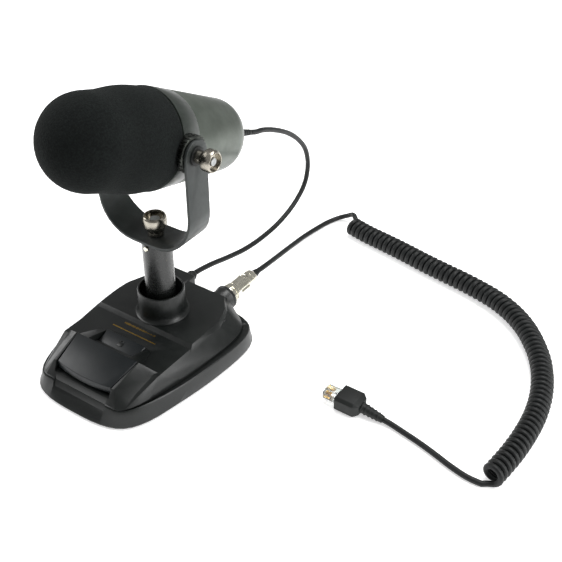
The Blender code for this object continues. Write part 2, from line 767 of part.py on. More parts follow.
def strap_path():
    """The inside of the strap in its own plane: up one arm, round the corners, up the other."""
    half = YOKE_HALF - YOKE_T
    radius = YOKE_CORNER - YOKE_T
    low = YOKE_T
    top = PIVOT_UP + YOKE_WIDTH
    right = [(half, top)]
    for step in range(9):
        angle = math.radians(90) * step / 8
        right.append((half - radius + radius * math.cos(angle), low + radius - radius * math.sin(angle)))
    return right + [(-x, z) for x, z in reversed(right)]


def yoke():
    bm = bmesh.new()
    path = strap_path()
    rows = []
    for x, z in path:
        share = min(max((z - YOKE_T) / YOKE_CORNER, 0.0), 1.0)
        reach = YOKE_WIDTH / 2 + YOKE_FLARE * (1 - share * share * (3 - 2 * share))
        rows.append([bm.verts.new((x, side * reach, z)) for side in (-1, 1)])
    for (a, b), (c, d) in zip(rows, rows[1:]):
        bm.faces.new((a, b, d, c))
    strap = add_bmesh("yoke", bm, "yoke_paint", YOKE_AXIS, Matrix())
    solid = strap.modifiers.new("wall", "SOLIDIFY")
    solid.thickness = YOKE_T
    solid.offset = 1.0
    solid.use_even_offset = True
    half = YOKE_WIDTH / 2
    rim = []
    for step in range(13):
        angle = math.pi * step / 12
        rim.append((half * math.cos(angle), PIVOT_UP + half * math.sin(angle)))
    wide = half + 2 * YOKE_FLARE
    rim += [(-wide, -5 * MM), (wide, -5 * MM)]
    side_form = hull("yoke_side", mirrored([(YOKE_HALF + 5 * MM, y, z) for y, z in rim]), None, YOKE_AXIS)
    boolean(strap, side_form, "INTERSECT")
    across = along((0, 0, PIVOT_UP), (1, 0, 0))
    reach = YOKE_HALF + 5 * MM
    boolean(strap, rod("pivot_holes", PIVOT_STUD_R + GAP, -reach, reach, None, YOKE_AXIS, across, 16))
    boolean(strap, rod("stud_hole", STUD_R + GAP, -5 * MM, 10 * MM, None, YOKE_AXIS, segments=20))


def pivot_set(side, label):
    """The stud, toothed rosette, washer and thumb nut of one side, outwards along X."""
    direction = (side, 0, 0)
    on_head = along((0, 0, 0), direction)
    on_yoke = along((0, 0, PIVOT_UP), direction)
    nut_start = YOKE_HALF + GAP + WASHER_T + GAP
    nut_end = nut_start + TILT_KNOB_L
    inside = ring_radius(0) - BODY_WALL - 1.6 * MM
    profile = ((0, nut_end - 1.5 * MM), (PIVOT_STUD_R, nut_end - 1.5 * MM), (PIVOT_STUD_R, inside))
    profile += ((6 * MM, inside), (6 * MM, inside - 2 * MM), (0, inside - 2 * MM))
    turned(f"pivot_stud_{label}", profile, "steel", TILT_AXIS, on_head, 20)
    hole = PIVOT_STUD_R + GAP
    top = YOKE_HALF - YOKE_T - GAP
    low = top - 9 * MM
    profile = ((hole, top), (ROSETTE_R, top), (ROSETTE_R, low), (hole, low))
    rosette = turned(f"rosette_{label}", profile, "dark_metal", TILT_AXIS, on_head)
    boolean(rosette, bpy.data.objects["head_envelope"])
    low = YOKE_HALF + GAP
    profile = ((hole, low + WASHER_T), (WASHER_R, low + WASHER_T), (WASHER_R, low), (hole, low))
    turned(f"pivot_washer_{label}", profile, "rubber", YOKE_AXIS, on_yoke, 24)
    neck = 5.2 * MM
    profile = ((TILT_KNOB_R - 1.4 * MM, nut_end), (TILT_KNOB_R, nut_end - 0.8 * MM))
    profile += ((TILT_KNOB_R, nut_end - 8 * MM), (neck, nut_start + 4.5 * MM), (neck, nut_start))
    profile += ((hole, nut_start), (hole, nut_end - 3 * MM), (TILT_KNOB_R - 1.8 * MM, nut_end - 3 * MM))
    turned(f"tilt_knob_{label}", profile, "nickel", TILT_AXIS, on_head)


# Head


def ring_radius(s):
    """Outer radius of the housing's straight taper."""
    share = (s - RING_FRONT) / (BODY_REAR - RING_FRONT)
    return BODY_FRONT_R + (BODY_REAR_R - BODY_FRONT_R) * share


def dome(start, end, radius, count, centre_gap=0.0):
    """Points (radius, s) on an elliptic dome from its rim at start to its pole at end."""
    points = []
    for step in range(count + 1):
        angle = math.radians(90) * step / count
        points.append((max(radius * math.cos(angle), centre_gap), start + (end - start) * math.sin(angle)))
    return points


def head_shells():
    inner = BODY_WALL
    hole = GLAND_R - 0.7 * MM + GAP
    outside = dome(BODY_REAR, BODY_END, BODY_REAR_R, 8, hole)[::-1]
    inside = dome(BODY_REAR, BODY_END - inner, BODY_REAR_R - inner, 8, hole)
    start = RING_REAR + GAP
    profile = outside + [(ring_radius(start), start), (ring_radius(start) - inner, start)] + inside
    turned("head_body", profile, "housing", TILT_AXIS, steps=48)
    profile = [
        (ring_radius(RING_REAR), RING_REAR),
        (ring_radius(RING_FRONT), RING_FRONT),
        (ring_radius(RING_FRONT) - inner, RING_FRONT),
        (ring_radius(RING_REAR) - inner, RING_REAR),
    ]
    ring = turned("front_ring", profile, "dark_metal", TILT_AXIS, steps=48)
    reach = BODY_FRONT_R + 5 * MM
    across = along((0, 0, 0), (1, 0, 0))
    boolean(ring, rod("ring_holes", PIVOT_STUD_R + GAP, -reach, reach, None, TILT_AXIS, across, 16))
    profile = [
        (0, BODY_REAR),
        (ring_radius(BODY_REAR) + GAP, BODY_REAR),
        (ring_radius(RING_FRONT - 25 * MM) + GAP, RING_FRONT - 25 * MM),
        (0, RING_FRONT - 25 * MM),
    ]
    turned("head_envelope", profile, None, TILT_AXIS, steps=48)


def head_front():
    rear = RING_FRONT - GAP
    shoulder = BASKET_FRONT + 22 * MM
    cavity = BASKET_R + GAP
    hollow = dome(shoulder, BASKET_FRONT - GAP, cavity, 6)[::-1]
    outside = dome(FOAM_FRONT + FOAM_DOME, FOAM_FRONT, FOAM_FRONT_R, 9)
    profile = [*hollow, (cavity, rear), (FOAM_REAR_R, rear), FOAM_BELLY, *outside]
    turned("foam_windscreen", profile, "foam", TILT_AXIS, steps=40)
    skin = 1.0 * MM
    inside = dome(shoulder, BASKET_FRONT + skin, BASKET_R - skin, 6)[::-1]
    outside = dome(shoulder, BASKET_FRONT, BASKET_R, 6)
    profile = [*inside, (BASKET_R - skin, rear), (BASKET_R, rear), *outside]
    turned("grille_basket", profile, "mesh_metal", TILT_AXIS)


def head_inside():
    seat = CAPSULE_R + GAP
    rim = ring_radius(RING_REAR) - BODY_WALL - GAP
    mount_front = RING_REAR - 6 * MM
    profile = ((seat, RING_REAR), (rim, RING_REAR), (rim, mount_front), (seat, mount_front))
    turned("capsule_mount", profile, "rubber", TILT_AXIS)
    profile = ((0, RING_REAR + 2 * MM), (CAPSULE_R, RING_REAR + 2 * MM), (CAPSULE_R, RING_REAR - 12 * MM))
    profile += ((0, RING_REAR - 12 * MM),)
    turned("capsule", profile, "nickel", TILT_AXIS)
    board_start = RING_REAR + 8 * MM
    corner = (14 * MM, 0.8 * MM, board_start + 34 * MM)
    block("head_board", (-14 * MM, -0.8 * MM, board_start), corner, "board", TILT_AXIS)
    neck = GLAND_R - 0.7 * MM
    inside = BODY_END - BODY_WALL - 1.4 * MM
    profile = (
        (0, GLAND_TIP),
        (LEAD_R + 0.1 * MM, GLAND_TIP),
        (GLAND_R - 0.5 * MM, BODY_END + 14 * MM),
        (GLAND_R, BODY_END + 8 * MM),
        (GLAND_R, BODY_END + GAP),
        (neck, BODY_END + GAP),
        (neck, inside),
        (GLAND_R + 1.5 * MM, inside),
        (GLAND_R + 1.5 * MM, inside - 2 * MM),
        (0, inside - 2 * MM),
    )
    turned("head_gland", profile, "rubber", TILT_AXIS, steps=20)


# Connector, cords and modular plug


def connector():
    bore = SHELL_R - 1.8 * MM
    face = SOCKET_END
    profile = ((bore + GAP, face), (SOCKET_R + 0.6 * MM, face), (SOCKET_R + 0.6 * MM, face - 2.6 * MM))
    profile += ((SOCKET_R, face - 2.6 * MM), (SOCKET_R, 37 * MM), (bore + GAP, 37 * MM))
    turned("panel_socket", profile, "gloss_black", CONNECTOR_AXIS)
    pins = 5.4 * MM
    profile = ((0, face - 9 * MM), (pins, face - 9 * MM), (pins, 35 * MM), (0, 35 * MM))
    turned("socket_insert", profile, "gloss_black", CONNECTOR_AXIS, steps=20)
    profile = ((bore + GAP, RING_END), (RING_R, RING_END), (RING_R, face + GAP), (bore + GAP, face + GAP))
    turned("coupling_ring", profile, "nickel", CONNECTOR_AXIS)
    profile = ((0, SHELL_END), (SHELL_R, SHELL_END), (SHELL_R, RING_END + GAP), (bore, RING_END + GAP))
    profile += ((bore, face - 8 * MM), (0, face - 8 * MM))
    turned("plug_shell", profile, "nickel", CONNECTOR_AXIS)
    low = SHELL_END + GAP
    profile = ((0, CLAMP_END), (5.6 * MM, CLAMP_END), (6.8 * MM, CLAMP_END - 2 * MM))
    profile += ((6.8 * MM, low), (0, low))
    turned("plug_clamp", profile, "nickel", CONNECTOR_AXIS)
    low = CLAMP_END + GAP
    profile = ((0, SLEEVE_END), (CORD_R + 0.9 * MM, SLEEVE_END), (4.1 * MM, low), (0, low))
    turned("plug_sleeve", profile, "rubber", CONNECTOR_AXIS, steps=20)


def base_gland():
    end = BASE_GLAND_END
    profile = ((0, end), (3.0 * MM, end), (4.6 * MM, end - 3 * MM))
    profile += ((4.6 * MM, 53.3 * MM), (3.0 * MM, 53.3 * MM))
    profile += ((3.0 * MM, 50.3 * MM), (3.9 * MM, 50.3 * MM), (3.9 * MM, 48 * MM), (0, 48 * MM))
    turned("base_gland", profile, "rubber", ASSEMBLY, gland_place(), 20)


def link_lead():
    """The lead from the head to the base, as two tubes that meet in mid-air."""
    turn = Matrix.Translation((0, 0, PIVOT_Z)) @ Matrix.Rotation(-math.pi / 2 - HEAD_TILT, 4, "X")
    start = turn @ Vector((0, 0, GLAND_TIP + GAP))
    second = turn @ Vector((0, 0, GLAND_TIP + 9 * MM))
    end = Vector((BASE_GLAND_X, BASE_GLAND_END + GAP, BASE_GLAND_Z))
    before = end + Vector((0, 5 * MM, -0.4 * MM))
    route = [start, second, *millimetres(LINK_ROUTE), before, end]
    points = spline_points(route, 3 * 2 * LEAD_R)
    split = round(len(points) * LINK_SPLIT)
    tube("link_lead_head", points[: split + 1], LEAD_R, "cord_pvc", ASSEMBLY)
    meet = points[split] + (points[split + 1] - points[split]).normalized() * 2 * GAP
    tube("link_lead_base", [meet, *points[split + 1 :]], LEAD_R, "cord_pvc", ASSEMBLY)


def coiled_cord():
    start = Vector((SOCKET_X, SLEEVE_END + GAP, SOCKET_Z))
    route = [start, *millimetres(LEAD_1_ROUTE)]
    tube("cord_lead_socket", spline_points(route, 3 * 2 * CORD_R), CORD_R, "cord_pvc", ASSEMBLY)
    tube("cord_coil", spline_points(millimetres(COIL_ROUTE), 1.6 * COIL_R), COIL_R, "cord_pvc", ASSEMBLY, 3)
    out = tail_direction()
    tail = tail_start() + out * (BOOT_TAIL + GAP)
    route = [*millimetres(LEAD_2_ROUTE), tail + out * 6 * MM, tail]
    tube("cord_lead_plug", spline_points(route, 3 * 2 * CORD_R), CORD_R, "cord_pvc", ASSEMBLY)


def tail_start():
    return Vector(BOOT_NOSE) + Vector((BOOT_SIZE[0], 0, 0))


def tail_direction():
    return Vector((math.cos(TAIL_DROOP), 0, -math.sin(TAIL_DROOP)))


def modular_plug():
    nose = Vector(BOOT_NOSE)
    length, width, height = BOOT_SIZE
    chamfer = 2.4 * MM
    points = []
    for x in (0, length):
        for y, z in ((width / 2, height / 2 - chamfer), (width / 2 - chamfer, height / 2)):
            points += [(x, sy * y, sz * z) for sy in (-1, 1) for sz in (-1, 1)]
    neck = length + 4 * MM
    points += [(neck, sy * width * 0.3, sz * height * 0.3) for sy in (-1, 1) for sz in (-1, 1)]
    boot = hull("plug_boot", [nose + Vector(point) for point in points], "rubber", ASSEMBLY)
    profile = ((0, BOOT_TAIL), (CORD_R + 0.7 * MM, BOOT_TAIL))
    profile += ((4.6 * MM, 2 * MM), (4.6 * MM, -2 * MM), (0, -2 * MM))
    place = along(tail_start(), tail_direction())
    boolean(boot, turned("boot_tail", profile, None, ASSEMBLY, place, 16), "UNION")
    long, wide, tall = PLUG_SIZE
    low = nose + Vector((-long - GAP, -wide / 2, -tall / 2))
    high = nose + Vector((-GAP, wide / 2, tall / 2))
    block("modular_plug", low, high, "clear_plastic", ASSEMBLY)
    place = Matrix.Translation(nose + Vector((-long, 0, tall / 2 + GAP)))
    latch = add_empty("latch_axis", place, ASSEMBLY)
    block("plug_latch", (0, -3 * MM, 0), (long - 2 * GAP, 3 * MM, 1.1 * MM), "clear_plastic", latch)


def main():
    chin = chin_cutter()
    socket = socket_cutter()
    base_tray(chin, socket)
    base_cover(chin, socket)
    base_inside()
    talk_bar()
    spring("talk_bar_spring", BAR_SPRING_Y, TRAY_FLOOR + GAP, BAR_BOTTOM_Z - GAP)
    lock_button()
    spring("lock_spring", (LOCK_FRONT + LOCK_REAR) / 2, BALLAST_TOP + GAP, LOCK_BOTTOM_Z - GAP)
    post()
    yoke_knob()
    yoke()
    head_shells()
    head_front()
    head_inside()
    for side, label in ((1, "right"), (-1, "left")):
        pivot_set(side, label)
    connector()
    base_gland()
    link_lead()
    coiled_cord()
    modular_plug()


main()
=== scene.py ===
"""Looks of a desktop microphone on a weighted base: foam windscreen, painted housing, steel yoke,
lacquered post, moulded base with a talk bar, and a retractile cord. Metres; lengths are given in mm."""

import math

import bmesh
import bpy
from mathutils import Matrix, Vector


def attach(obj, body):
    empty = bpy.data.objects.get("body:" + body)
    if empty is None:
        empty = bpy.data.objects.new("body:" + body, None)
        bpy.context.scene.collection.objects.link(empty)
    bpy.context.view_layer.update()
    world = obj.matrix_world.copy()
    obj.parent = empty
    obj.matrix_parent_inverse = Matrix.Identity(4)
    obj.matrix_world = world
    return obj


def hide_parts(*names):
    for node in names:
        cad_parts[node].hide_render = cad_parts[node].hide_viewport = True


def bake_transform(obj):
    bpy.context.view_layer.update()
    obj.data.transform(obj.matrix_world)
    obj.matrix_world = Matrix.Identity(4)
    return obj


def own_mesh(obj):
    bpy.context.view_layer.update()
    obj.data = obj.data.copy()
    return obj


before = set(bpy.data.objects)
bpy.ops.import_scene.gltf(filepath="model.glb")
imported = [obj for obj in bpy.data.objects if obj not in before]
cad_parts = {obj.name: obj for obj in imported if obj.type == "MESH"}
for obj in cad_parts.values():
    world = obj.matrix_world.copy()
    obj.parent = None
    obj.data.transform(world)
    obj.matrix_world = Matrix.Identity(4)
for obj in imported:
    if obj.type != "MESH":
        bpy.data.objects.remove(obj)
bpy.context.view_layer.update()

MM = 0.001
POST_Y = -8.6  # the post's axis, from the middle of the footprint
PIVOT_Z = 194.5
HEAD_TILT = math.radians(21.4)
RIGHT, LEFT = 1, -1

# Sizes in mm, the same as in the part's own source
DECK_Z = 30.2
PLATEAU_Z = 33.0
POST_R = 12.5
POST_TOP = 106.6
COLLAR_R = 19.7
COLLAR_TOP = 56.4
YOKE_HALF = 47.05
YOKE_KNOB_TOP = 127.0
SOCKET_X = 24.5
SOCKET_Z = 21.0
CORD_R = 2.4
LEAD_R = 2.4
COIL_R = 9.35
BOOT_NOSE = (167.3, 16.6, 7.3)
BOOT_LENGTH = 16.5
TAIL_LENGTH = 23.0
TAIL_DROOP = math.radians(8.0)
PLUG_LENGTH = 13.0
LINK_EXIT = (-14.0, 60.3, 28.4)
LINK_BEFORE = (-14.0, 65.3, 28.0)

# Places along the head's own axis from its pivot, to the rear, and radii there
RING_FRONT, RING_REAR = -6.1, 15.9
RING_FRONT_R = 39.7
HOUSING_START, HOUSING_REAR, HOUSING_END = 16.2, 78.7, 102.8
HOUSING_REAR_R = 30.4
HOUSING_WALL = 2.2
GLAND_TIP = 138.9
FOAM_FRONT, FOAM_SHOULDER, FOAM_REAR = -101.5, -66.5, -6.4
FOAM_REAR_R, FOAM_FRONT_R = 39.4, 35.9
FOAM_BELLY = 1.5
FOAM_BORE_R = 32.3
FOAM_BORE_START, FOAM_BORE_END = -50.0, -72.3

# Places along the round connector's axis, from the post to the cord
SOCKET_FACE = 57.0
RING_END = 66.5
SHELL_START, SHELL_END = 66.8, 84.0
SLEEVE_END = 103.0
GAP = 0.3


# Places


def spot(x, y, z):
    """A point given in mm from the foot of the post."""
    return Vector((x, y + POST_Y, z)) * MM


def spots(points):
    return [spot(*point) for point in points]


def facing(point, direction):
    """The place at a point, with local Z along a direction."""
    turn = Vector(direction).to_track_quat("Z", "Y").to_matrix().to_4x4()
    return Matrix.Translation(spot(*point)) @ turn


HEAD = Matrix.Translation(spot(0, 0, PIVOT_Z)) @ Matrix.Rotation(-math.pi / 2 - HEAD_TILT, 4, "X")
UPRIGHT = Matrix.Translation(spot(0, 0, 0))
CONNECTOR = facing((SOCKET_X, 0, SOCKET_Z), (0, 1, 0))
BOOT_END = (BOOT_NOSE[0] + BOOT_LENGTH, BOOT_NOSE[1], BOOT_NOSE[2])
BOOT_OUT = Vector((math.cos(TAIL_DROOP), 0, -math.sin(TAIL_DROOP)))


# Materials


def colour(text):
    """A linear colour from a hex one."""
    shares = [int(text[i : i + 2], 16) / 255 for i in (1, 3, 5)]
    return (*(c / 12.92 if c <= 0.04045 else ((c + 0.055) / 1.055) ** 2.4 for c in shares), 1.0)


def step(tree, kind, settings=None, **inputs):
    """Adds a node. The settings are its properties, and an input takes a value or a node's output."""
    made = tree.nodes.new(kind)
    for name, value in (settings or {}).items():
        setattr(made, name, value)
    for name, value in inputs.items():
        socket = made.inputs[name.replace("_", " ")]
        if isinstance(value, bpy.types.NodeSocket):
            tree.links.new(value, socket)
        else:
            socket.default_value = value
    return made


def finish_of(name, **sockets):
    """A material with a Principled shader, and the node tree to add its grain to."""
    material = bpy.data.materials.new(name)
    material.use_nodes = True
    shader = material.node_tree.nodes["Principled BSDF"]
    for socket, value in sockets.items():
        shader.inputs[socket.replace("_", " ")].default_value = value
    return material, material.node_tree, shader


def place_of(tree):
    return step(tree, "ShaderNodeTexCoord").outputs["Object"]


def noise(tree, place, scale, detail=3.0, roughness=0.55):
    return step(tree, "ShaderNodeTexNoise", Vector=place, Scale=scale, Detail=detail, Roughness=roughness)


def spread(tree, value, low, high, floor, top):
    """Maps a value from floor..top to low..high."""
    made = step(tree, "ShaderNodeMapRange", Value=value)
    for index, number in zip((1, 2, 3, 4), (floor, top, low, high)):
        made.inputs[index].default_value = number
    return made.outputs[0]


def tint(tree, shader, share, dark, light):
    """Colour that wanders between two shades."""
    mix = step(tree, "ShaderNodeMix", {"data_type": "RGBA"})
    tree.links.new(share, mix.inputs[0])
    mix.inputs[6].default_value = colour(dark)
    mix.inputs[7].default_value = colour(light)
    tree.links.new(mix.outputs[2], shader.inputs["Base Color"])


def grain(tree, shader, height, depth, strength):
    """A fine relief, with its depth in metres."""
    bump = step(tree, "ShaderNodeBump", Height=height, Distance=depth, Strength=strength)
    tree.links.new(bump.outputs["Normal"], shader.inputs["Normal"])


def rough(tree, shader, value):
    tree.links.new(value, shader.inputs["Roughness"])


def moulded(name, dark, light, low, high, fine=2600.0, depth=0.00003, **sockets):
    """Moulded plastic or rubber: a fine spark-eroded texture, faint clouds in colour, worn sheen."""
    material, tree, shader = finish_of(name, **sockets)
    place = place_of(tree)
    clouds = noise(tree, place, 45.0, 4.0).outputs["Fac"]
    tint(tree, shader, spread(tree, clouds, 0.0, 1.0, 0.3, 0.7), dark, light)
    texture = noise(tree, place, fine, 2.0, 0.5).outputs["Fac"]
    grain(tree, shader, texture, depth, 0.35)
    rough(tree, shader, spread(tree, noise(tree, place, 130.0).outputs["Fac"], low, high, 0.35, 0.65))
    return material


def painted(name, dark, light, low, high, fine=900.0, depth=0.00004, **sockets):
    """Sprayed paint: soft orange peel, slight unevenness of gloss."""
    material, tree, shader = finish_of(name, **sockets)
    place = place_of(tree)
    clouds = noise(tree, place, 60.0, 5.0).outputs["Fac"]
    tint(tree, shader, spread(tree, clouds, 0.0, 1.0, 0.35, 0.65), dark, light)
    grain(tree, shader, noise(tree, place, fine, 3.0, 0.6).outputs["Fac"], depth, 0.3)
    rough(tree, shader, spread(tree, noise(tree, place, 220.0).outputs["Fac"], low, high, 0.3, 0.7))
    return material


def plated(name, dark, light, low, high, fine=1500.0, **sockets):
    """Plated or bare metal: fine turning marks and faint tarnish."""
    material, tree, shader = finish_of(name, Metallic=1.0, **sockets)
    place = place_of(tree)
    tarnish = noise(tree, place, 180.0, 5.0, 0.65).outputs["Fac"]
    tint(tree, shader, spread(tree, tarnish, 0.0, 1.0, 0.3, 0.7), dark, light)
    grain(tree, shader, noise(tree, place, fine, 2.0).outputs["Fac"], 0.00001, 0.12)
    rough(tree, shader, spread(tree, noise(tree, place, 400.0).outputs["Fac"], low, high, 0.3, 0.7))
    return material


def open_cell_foam():
    """Reticulated polyurethane foam: a matte body with painted shade in its pores, faint patches of tone, and
    a soft fuzz at the edges.
    """
    material, tree, shader = finish_of("Open-cell foam", Roughness=0.97)
    shader.inputs["Sheen Weight"].default_value = 0.04
    shader.inputs["Sheen Roughness"].default_value = 0.6
    shader.inputs["Sheen Tint"].default_value = colour("#9aa39f")
    shader.inputs["Specular IOR Level"].default_value = 0.12
    place = place_of(tree)
    pores = step(tree, "ShaderNodeTexVoronoi", Vector=place, Scale=720.0, Randomness=1.0)
    cells = step(tree, "ShaderNodeTexVoronoi", Vector=place, Scale=1500.0, Randomness=1.0)
    # Painted shade: the colour darkens with the Voronoi distance, as shade in the pores, times faint patches
    # of tone
    pore_shade = spread(tree, pores.outputs["Distance"], 1.0, 0.0, 0.0, 0.75)
    patches = noise(tree, place, 38.0, 4.0, 0.6).outputs["Fac"]
    pore_shade_and_patches = step(tree, "ShaderNodeMath", {"operation": "MULTIPLY"})
    tree.links.new(pore_shade, pore_shade_and_patches.inputs[0])
    tree.links.new(spread(tree, patches, 0.6, 1.35, 0.3, 0.7), pore_shade_and_patches.inputs[1])
    tint(tree, shader, pore_shade_and_patches.outputs[0], "#0b0d0d", "#161a19")
    height = step(tree, "ShaderNodeMath", {"operation": "ADD"})
    tree.links.new(pores.outputs["Distance"], height.inputs[0])
    tree.links.new(cells.outputs["Distance"], height.inputs[1])
    grain(tree, shader, height.outputs[0], 0.0004, 0.5)
    return material


def punched_steel():
    """Round holes in rows, in the steel of the basket under the foam."""
    material, tree, shader = finish_of("Punched steel", Metallic=0.9, Roughness=0.4)
    place = place_of(tree)
    dots = step(tree, "ShaderNodeTexVoronoi", Vector=place, Scale=420.0, Randomness=0.0)
    tint(tree, shader, spread(tree, dots.outputs["Distance"], 0.0, 1.0, 0.25, 0.35), "#080808", "#6f7270")
    grain(tree, shader, dots.outputs["Distance"], 0.0004, 0.6)
    return material


def clear_moulding():
    """Clear polycarbonate of the modular plug, with flow lines from moulding."""
    material, tree, shader = finish_of("Clear polycarbonate", Roughness=0.06, IOR=1.58)
    shader.inputs["Transmission Weight"].default_value = 0.9
    place = place_of(tree)
    tint(tree, shader, noise(tree, place, 90.0).outputs["Fac"], "#e9efec", "#fbfdfc")
    grain(tree, shader, noise(tree, place, 300.0).outputs["Fac"], 0.00004, 0.3)
    return material


def backlit_floor():
    """White acrylic sweep under the microphone."""
    material, tree, shader = finish_of("White acrylic sweep", Roughness=0.7)
    shader.inputs["Specular IOR Level"].default_value = 0.1
    shader.inputs["Emission Color"].default_value = (1, 1, 1, 1)
    shader.inputs["Emission Strength"].default_value = 0.5
    place = place_of(tree)
    tint(tree, shader, noise(tree, place, 6.0).outputs["Fac"], "#fbfbfb", "#ffffff")
    return material


FOAM = open_cell_foam()
# Sprayed grey over metal, with a soft metallic sheen
HOUSING = painted(
    "Satin grey enamel", "#50564f", "#5d635c", 0.30, 0.42, Metallic=0.55, Coat_Weight=0.25, Coat_Roughness=0.25
)
# The darker ring at the foam
RING_PAINT = painted(
    "Dark grey enamel", "#2a2f2b", "#343a35", 0.32, 0.42, Metallic=0.45, Coat_Weight=0.2, Coat_Roughness=0.3
)
# Satin paint on steel strip
YOKE_PAINT = painted("Graphite enamel", "#2b2f2e", "#343837", 0.36, 0.46, Metallic=0.3)
# Dark toothed discs with bright tips
ROSETTE_METAL = plated("Blackened zinc", "#1f211f", "#4a4d49", 0.22, 0.4)
# The fine moulded texture of the base
SATIN_ABS = moulded("Satin black ABS", "#0f1211", "#151817", 0.30, 0.37, Specular_IOR_Level=0.42)
# The smoother talk bar and lock button
BUTTON_ABS = moulded(
    "Black ABS, smoother", "#14181a", "#191d1f", 0.34, 0.38, depth=0.00002, Specular_IOR_Level=0.34
)
# The glossy post tube
LACQUER = painted(
    "Black lacquer", "#0d0f0e", "#141615", 0.24, 0.32, fine=500.0, depth=0.00002, Coat_Weight=0.35,
    Coat_Roughness=0.2,
)
# Thumb nuts, yellowish under a bright light
DARK_NICKEL = plated("Black nickel", "#8f8a80", "#b9b4a8", 0.16, 0.3)
# The connector's shell and ring
BRIGHT_NICKEL = plated("Bright nickel", "#d8d4c4", "#f1eedf", 0.12, 0.26)
# Screws, studs, springs and ballast
STEEL = plated("Zinc-plated steel", "#9a9c9b", "#bfc1c0", 0.25, 0.42)
# The hot-stamped ornament
GOLD_FOIL = plated("Gold foil", "#a98433", "#caa552", 0.28, 0.42)
# Contact blades of the modular plug
CONTACT = plated("Gold-plated contacts", "#c79a3c", "#e0b95c", 0.15, 0.3)
# Boots, glands and feet, matte
RUBBER = moulded(
    "Black rubber", "#0f1110", "#161918", 0.48, 0.58, fine=1400.0, depth=0.00006, Specular_IOR_Level=0.35
)
# The cord's sheath, matte with a slight sheen
CORD_PVC = moulded("Black PVC", "#111313", "#181a1a", 0.42, 0.52, fine=1800.0, Specular_IOR_Level=0.3)
# The socket and the switches
BLACK_NYLON = moulded("Black nylon", "#161817", "#1f2120", 0.3, 0.45)
# Solder mask over copper
BOARD = moulded("Green circuit board", "#12402a", "#1b5a3b", 0.25, 0.4, fine=500.0)
PUNCHED = punched_steel()
CLEAR = clear_moulding()
WHITE = backlit_floor()


# Making pieces


def add_piece(name, mesh, material, body, nodes=(), sharp=35.0):
    """Puts a finished mesh in the scene as a piece that rides on a body."""
    obj = bpy.data.objects.new(name, mesh)
    bpy.context.scene.collection.objects.link(obj)
    if material:
        mesh.materials.clear()
        mesh.materials.append(material)
    mesh.shade_smooth()
    mesh.set_sharp_from_angle(angle=math.radians(sharp))
    if body:
        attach(obj, body)
    if nodes:
        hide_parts(*nodes)
    return obj


def mesh_of(bm, name):
    bmesh.ops.remove_doubles(bm, verts=bm.verts, dist=1e-7)
    bmesh.ops.recalc_face_normals(bm, faces=bm.faces)
    mesh = bpy.data.meshes.new(name)
    bm.to_mesh(mesh)
    bm.free()
    return mesh


def applied(obj):
    """The object's mesh with its modifiers applied; the object goes."""
    graph = bpy.context.evaluated_depsgraph_get()
    mesh = bpy.data.meshes.new_from_object(obj.evaluated_get(graph), depsgraph=graph)
    bpy.data.objects.remove(obj)
    return mesh


def eased(mesh, width, segments=2, angle=30.0):
    """The mesh with its sharp edges rounded."""
    obj = bpy.data.objects.new("eased", mesh)
    bpy.context.scene.collection.objects.link(obj)
    bevel = obj.modifiers.new("edge", "BEVEL")
    bevel.width = width * MM
    bevel.segments = segments
    bevel.limit_method = "ANGLE"
    bevel.angle_limit = math.radians(angle)
    bevel.use_clamp_overlap = True
    bpy.context.view_layer.update()
    return applied(obj)


def joined(name, meshes):
    bm = bmesh.new()
    for mesh in meshes:
        bm.from_mesh(mesh)
    return mesh_of(bm, name)


def cad_copy(node, width, segments=2, angle=30.0):
    """A node's mesh with its points merged, its flat areas joined and its edges rounded."""
    bm = bmesh.new()
    bm.from_mesh(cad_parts[node].data)
    bmesh.ops.remove_doubles(bm, verts=bm.verts, dist=2e-6)
    bmesh.ops.dissolve_limit(bm, angle_limit=math.radians(0.6), verts=bm.verts, edges=bm.edges)
    mesh = bpy.data.meshes.new(node)
    bm.to_mesh(mesh)
    bm.free()
    return eased(mesh, width, segments, angle) if width else mesh


def refined(name, node, width, material, body, segments=2, angle=30.0, sharp=35.0):
    """A piece made from a node's mesh, with its edges rounded by a width in mm."""
    return add_piece(name, cad_copy(node, width, segments, angle), material, body, (node,), sharp)


def turned_mesh(name, profile, place, steps=64, ripple=None):
    """A closed profile of (radius, height) in mm turned round local Z. The ripple gives the radius to
    add at a row and a step."""
    bm = bmesh.new()
    rings = []
    for row, (radius, height) in enumerate(profile):
        if radius < 1e-6:
            rings.append([bm.verts.new((0, 0, height * MM))] * steps)
            continue
        ring = []
        for k in range(steps):
            angle = 2 * math.pi * k / steps
            reach = (radius + (ripple(row, k) if ripple else 0.0)) * MM
            ring.append(bm.verts.new((reach * math.cos(angle), reach * math.sin(angle), height * MM)))
        rings.append(ring)
    for first, second in zip(rings, rings[1:] + rings[:1]):
        for k in range(steps):
            after = (k + 1) % steps
            corners = []
            for vert in (first[k], first[after], second[after], second[k]):
                if vert not in corners:
                    corners.append(vert)
            if len(corners) > 2:
                bm.faces.new(corners)
    bm.transform(place)
    return mesh_of(bm, name)


def turned(name, profile, place, material, body, nodes=(), steps=64, sharp=35.0, ripple=None):
    mesh = turned_mesh(name, profile, place, steps, ripple)
    return add_piece(name, mesh, material, body, nodes, sharp)


def arc(centre, radius, start, end, count):
    """Points on part of a circle in a profile, angles in degrees."""
    points = []
    for k in range(count + 1):
        angle = math.radians(start + (end - start) * k / count)
        points.append((centre[0] + radius * math.cos(angle), centre[1] + radius * math.sin(angle)))
    return points


def dome(start, end, radius, count, centre=0.0):
    """A quarter of an ellipse in a profile, from its full radius at start to the centre at end."""
    points = []
    for k in range(count + 1):
        angle = math.pi / 2 * k / count
        points.append((max(radius * math.cos(angle), centre), start + (end - start) * math.sin(angle)))
    return points


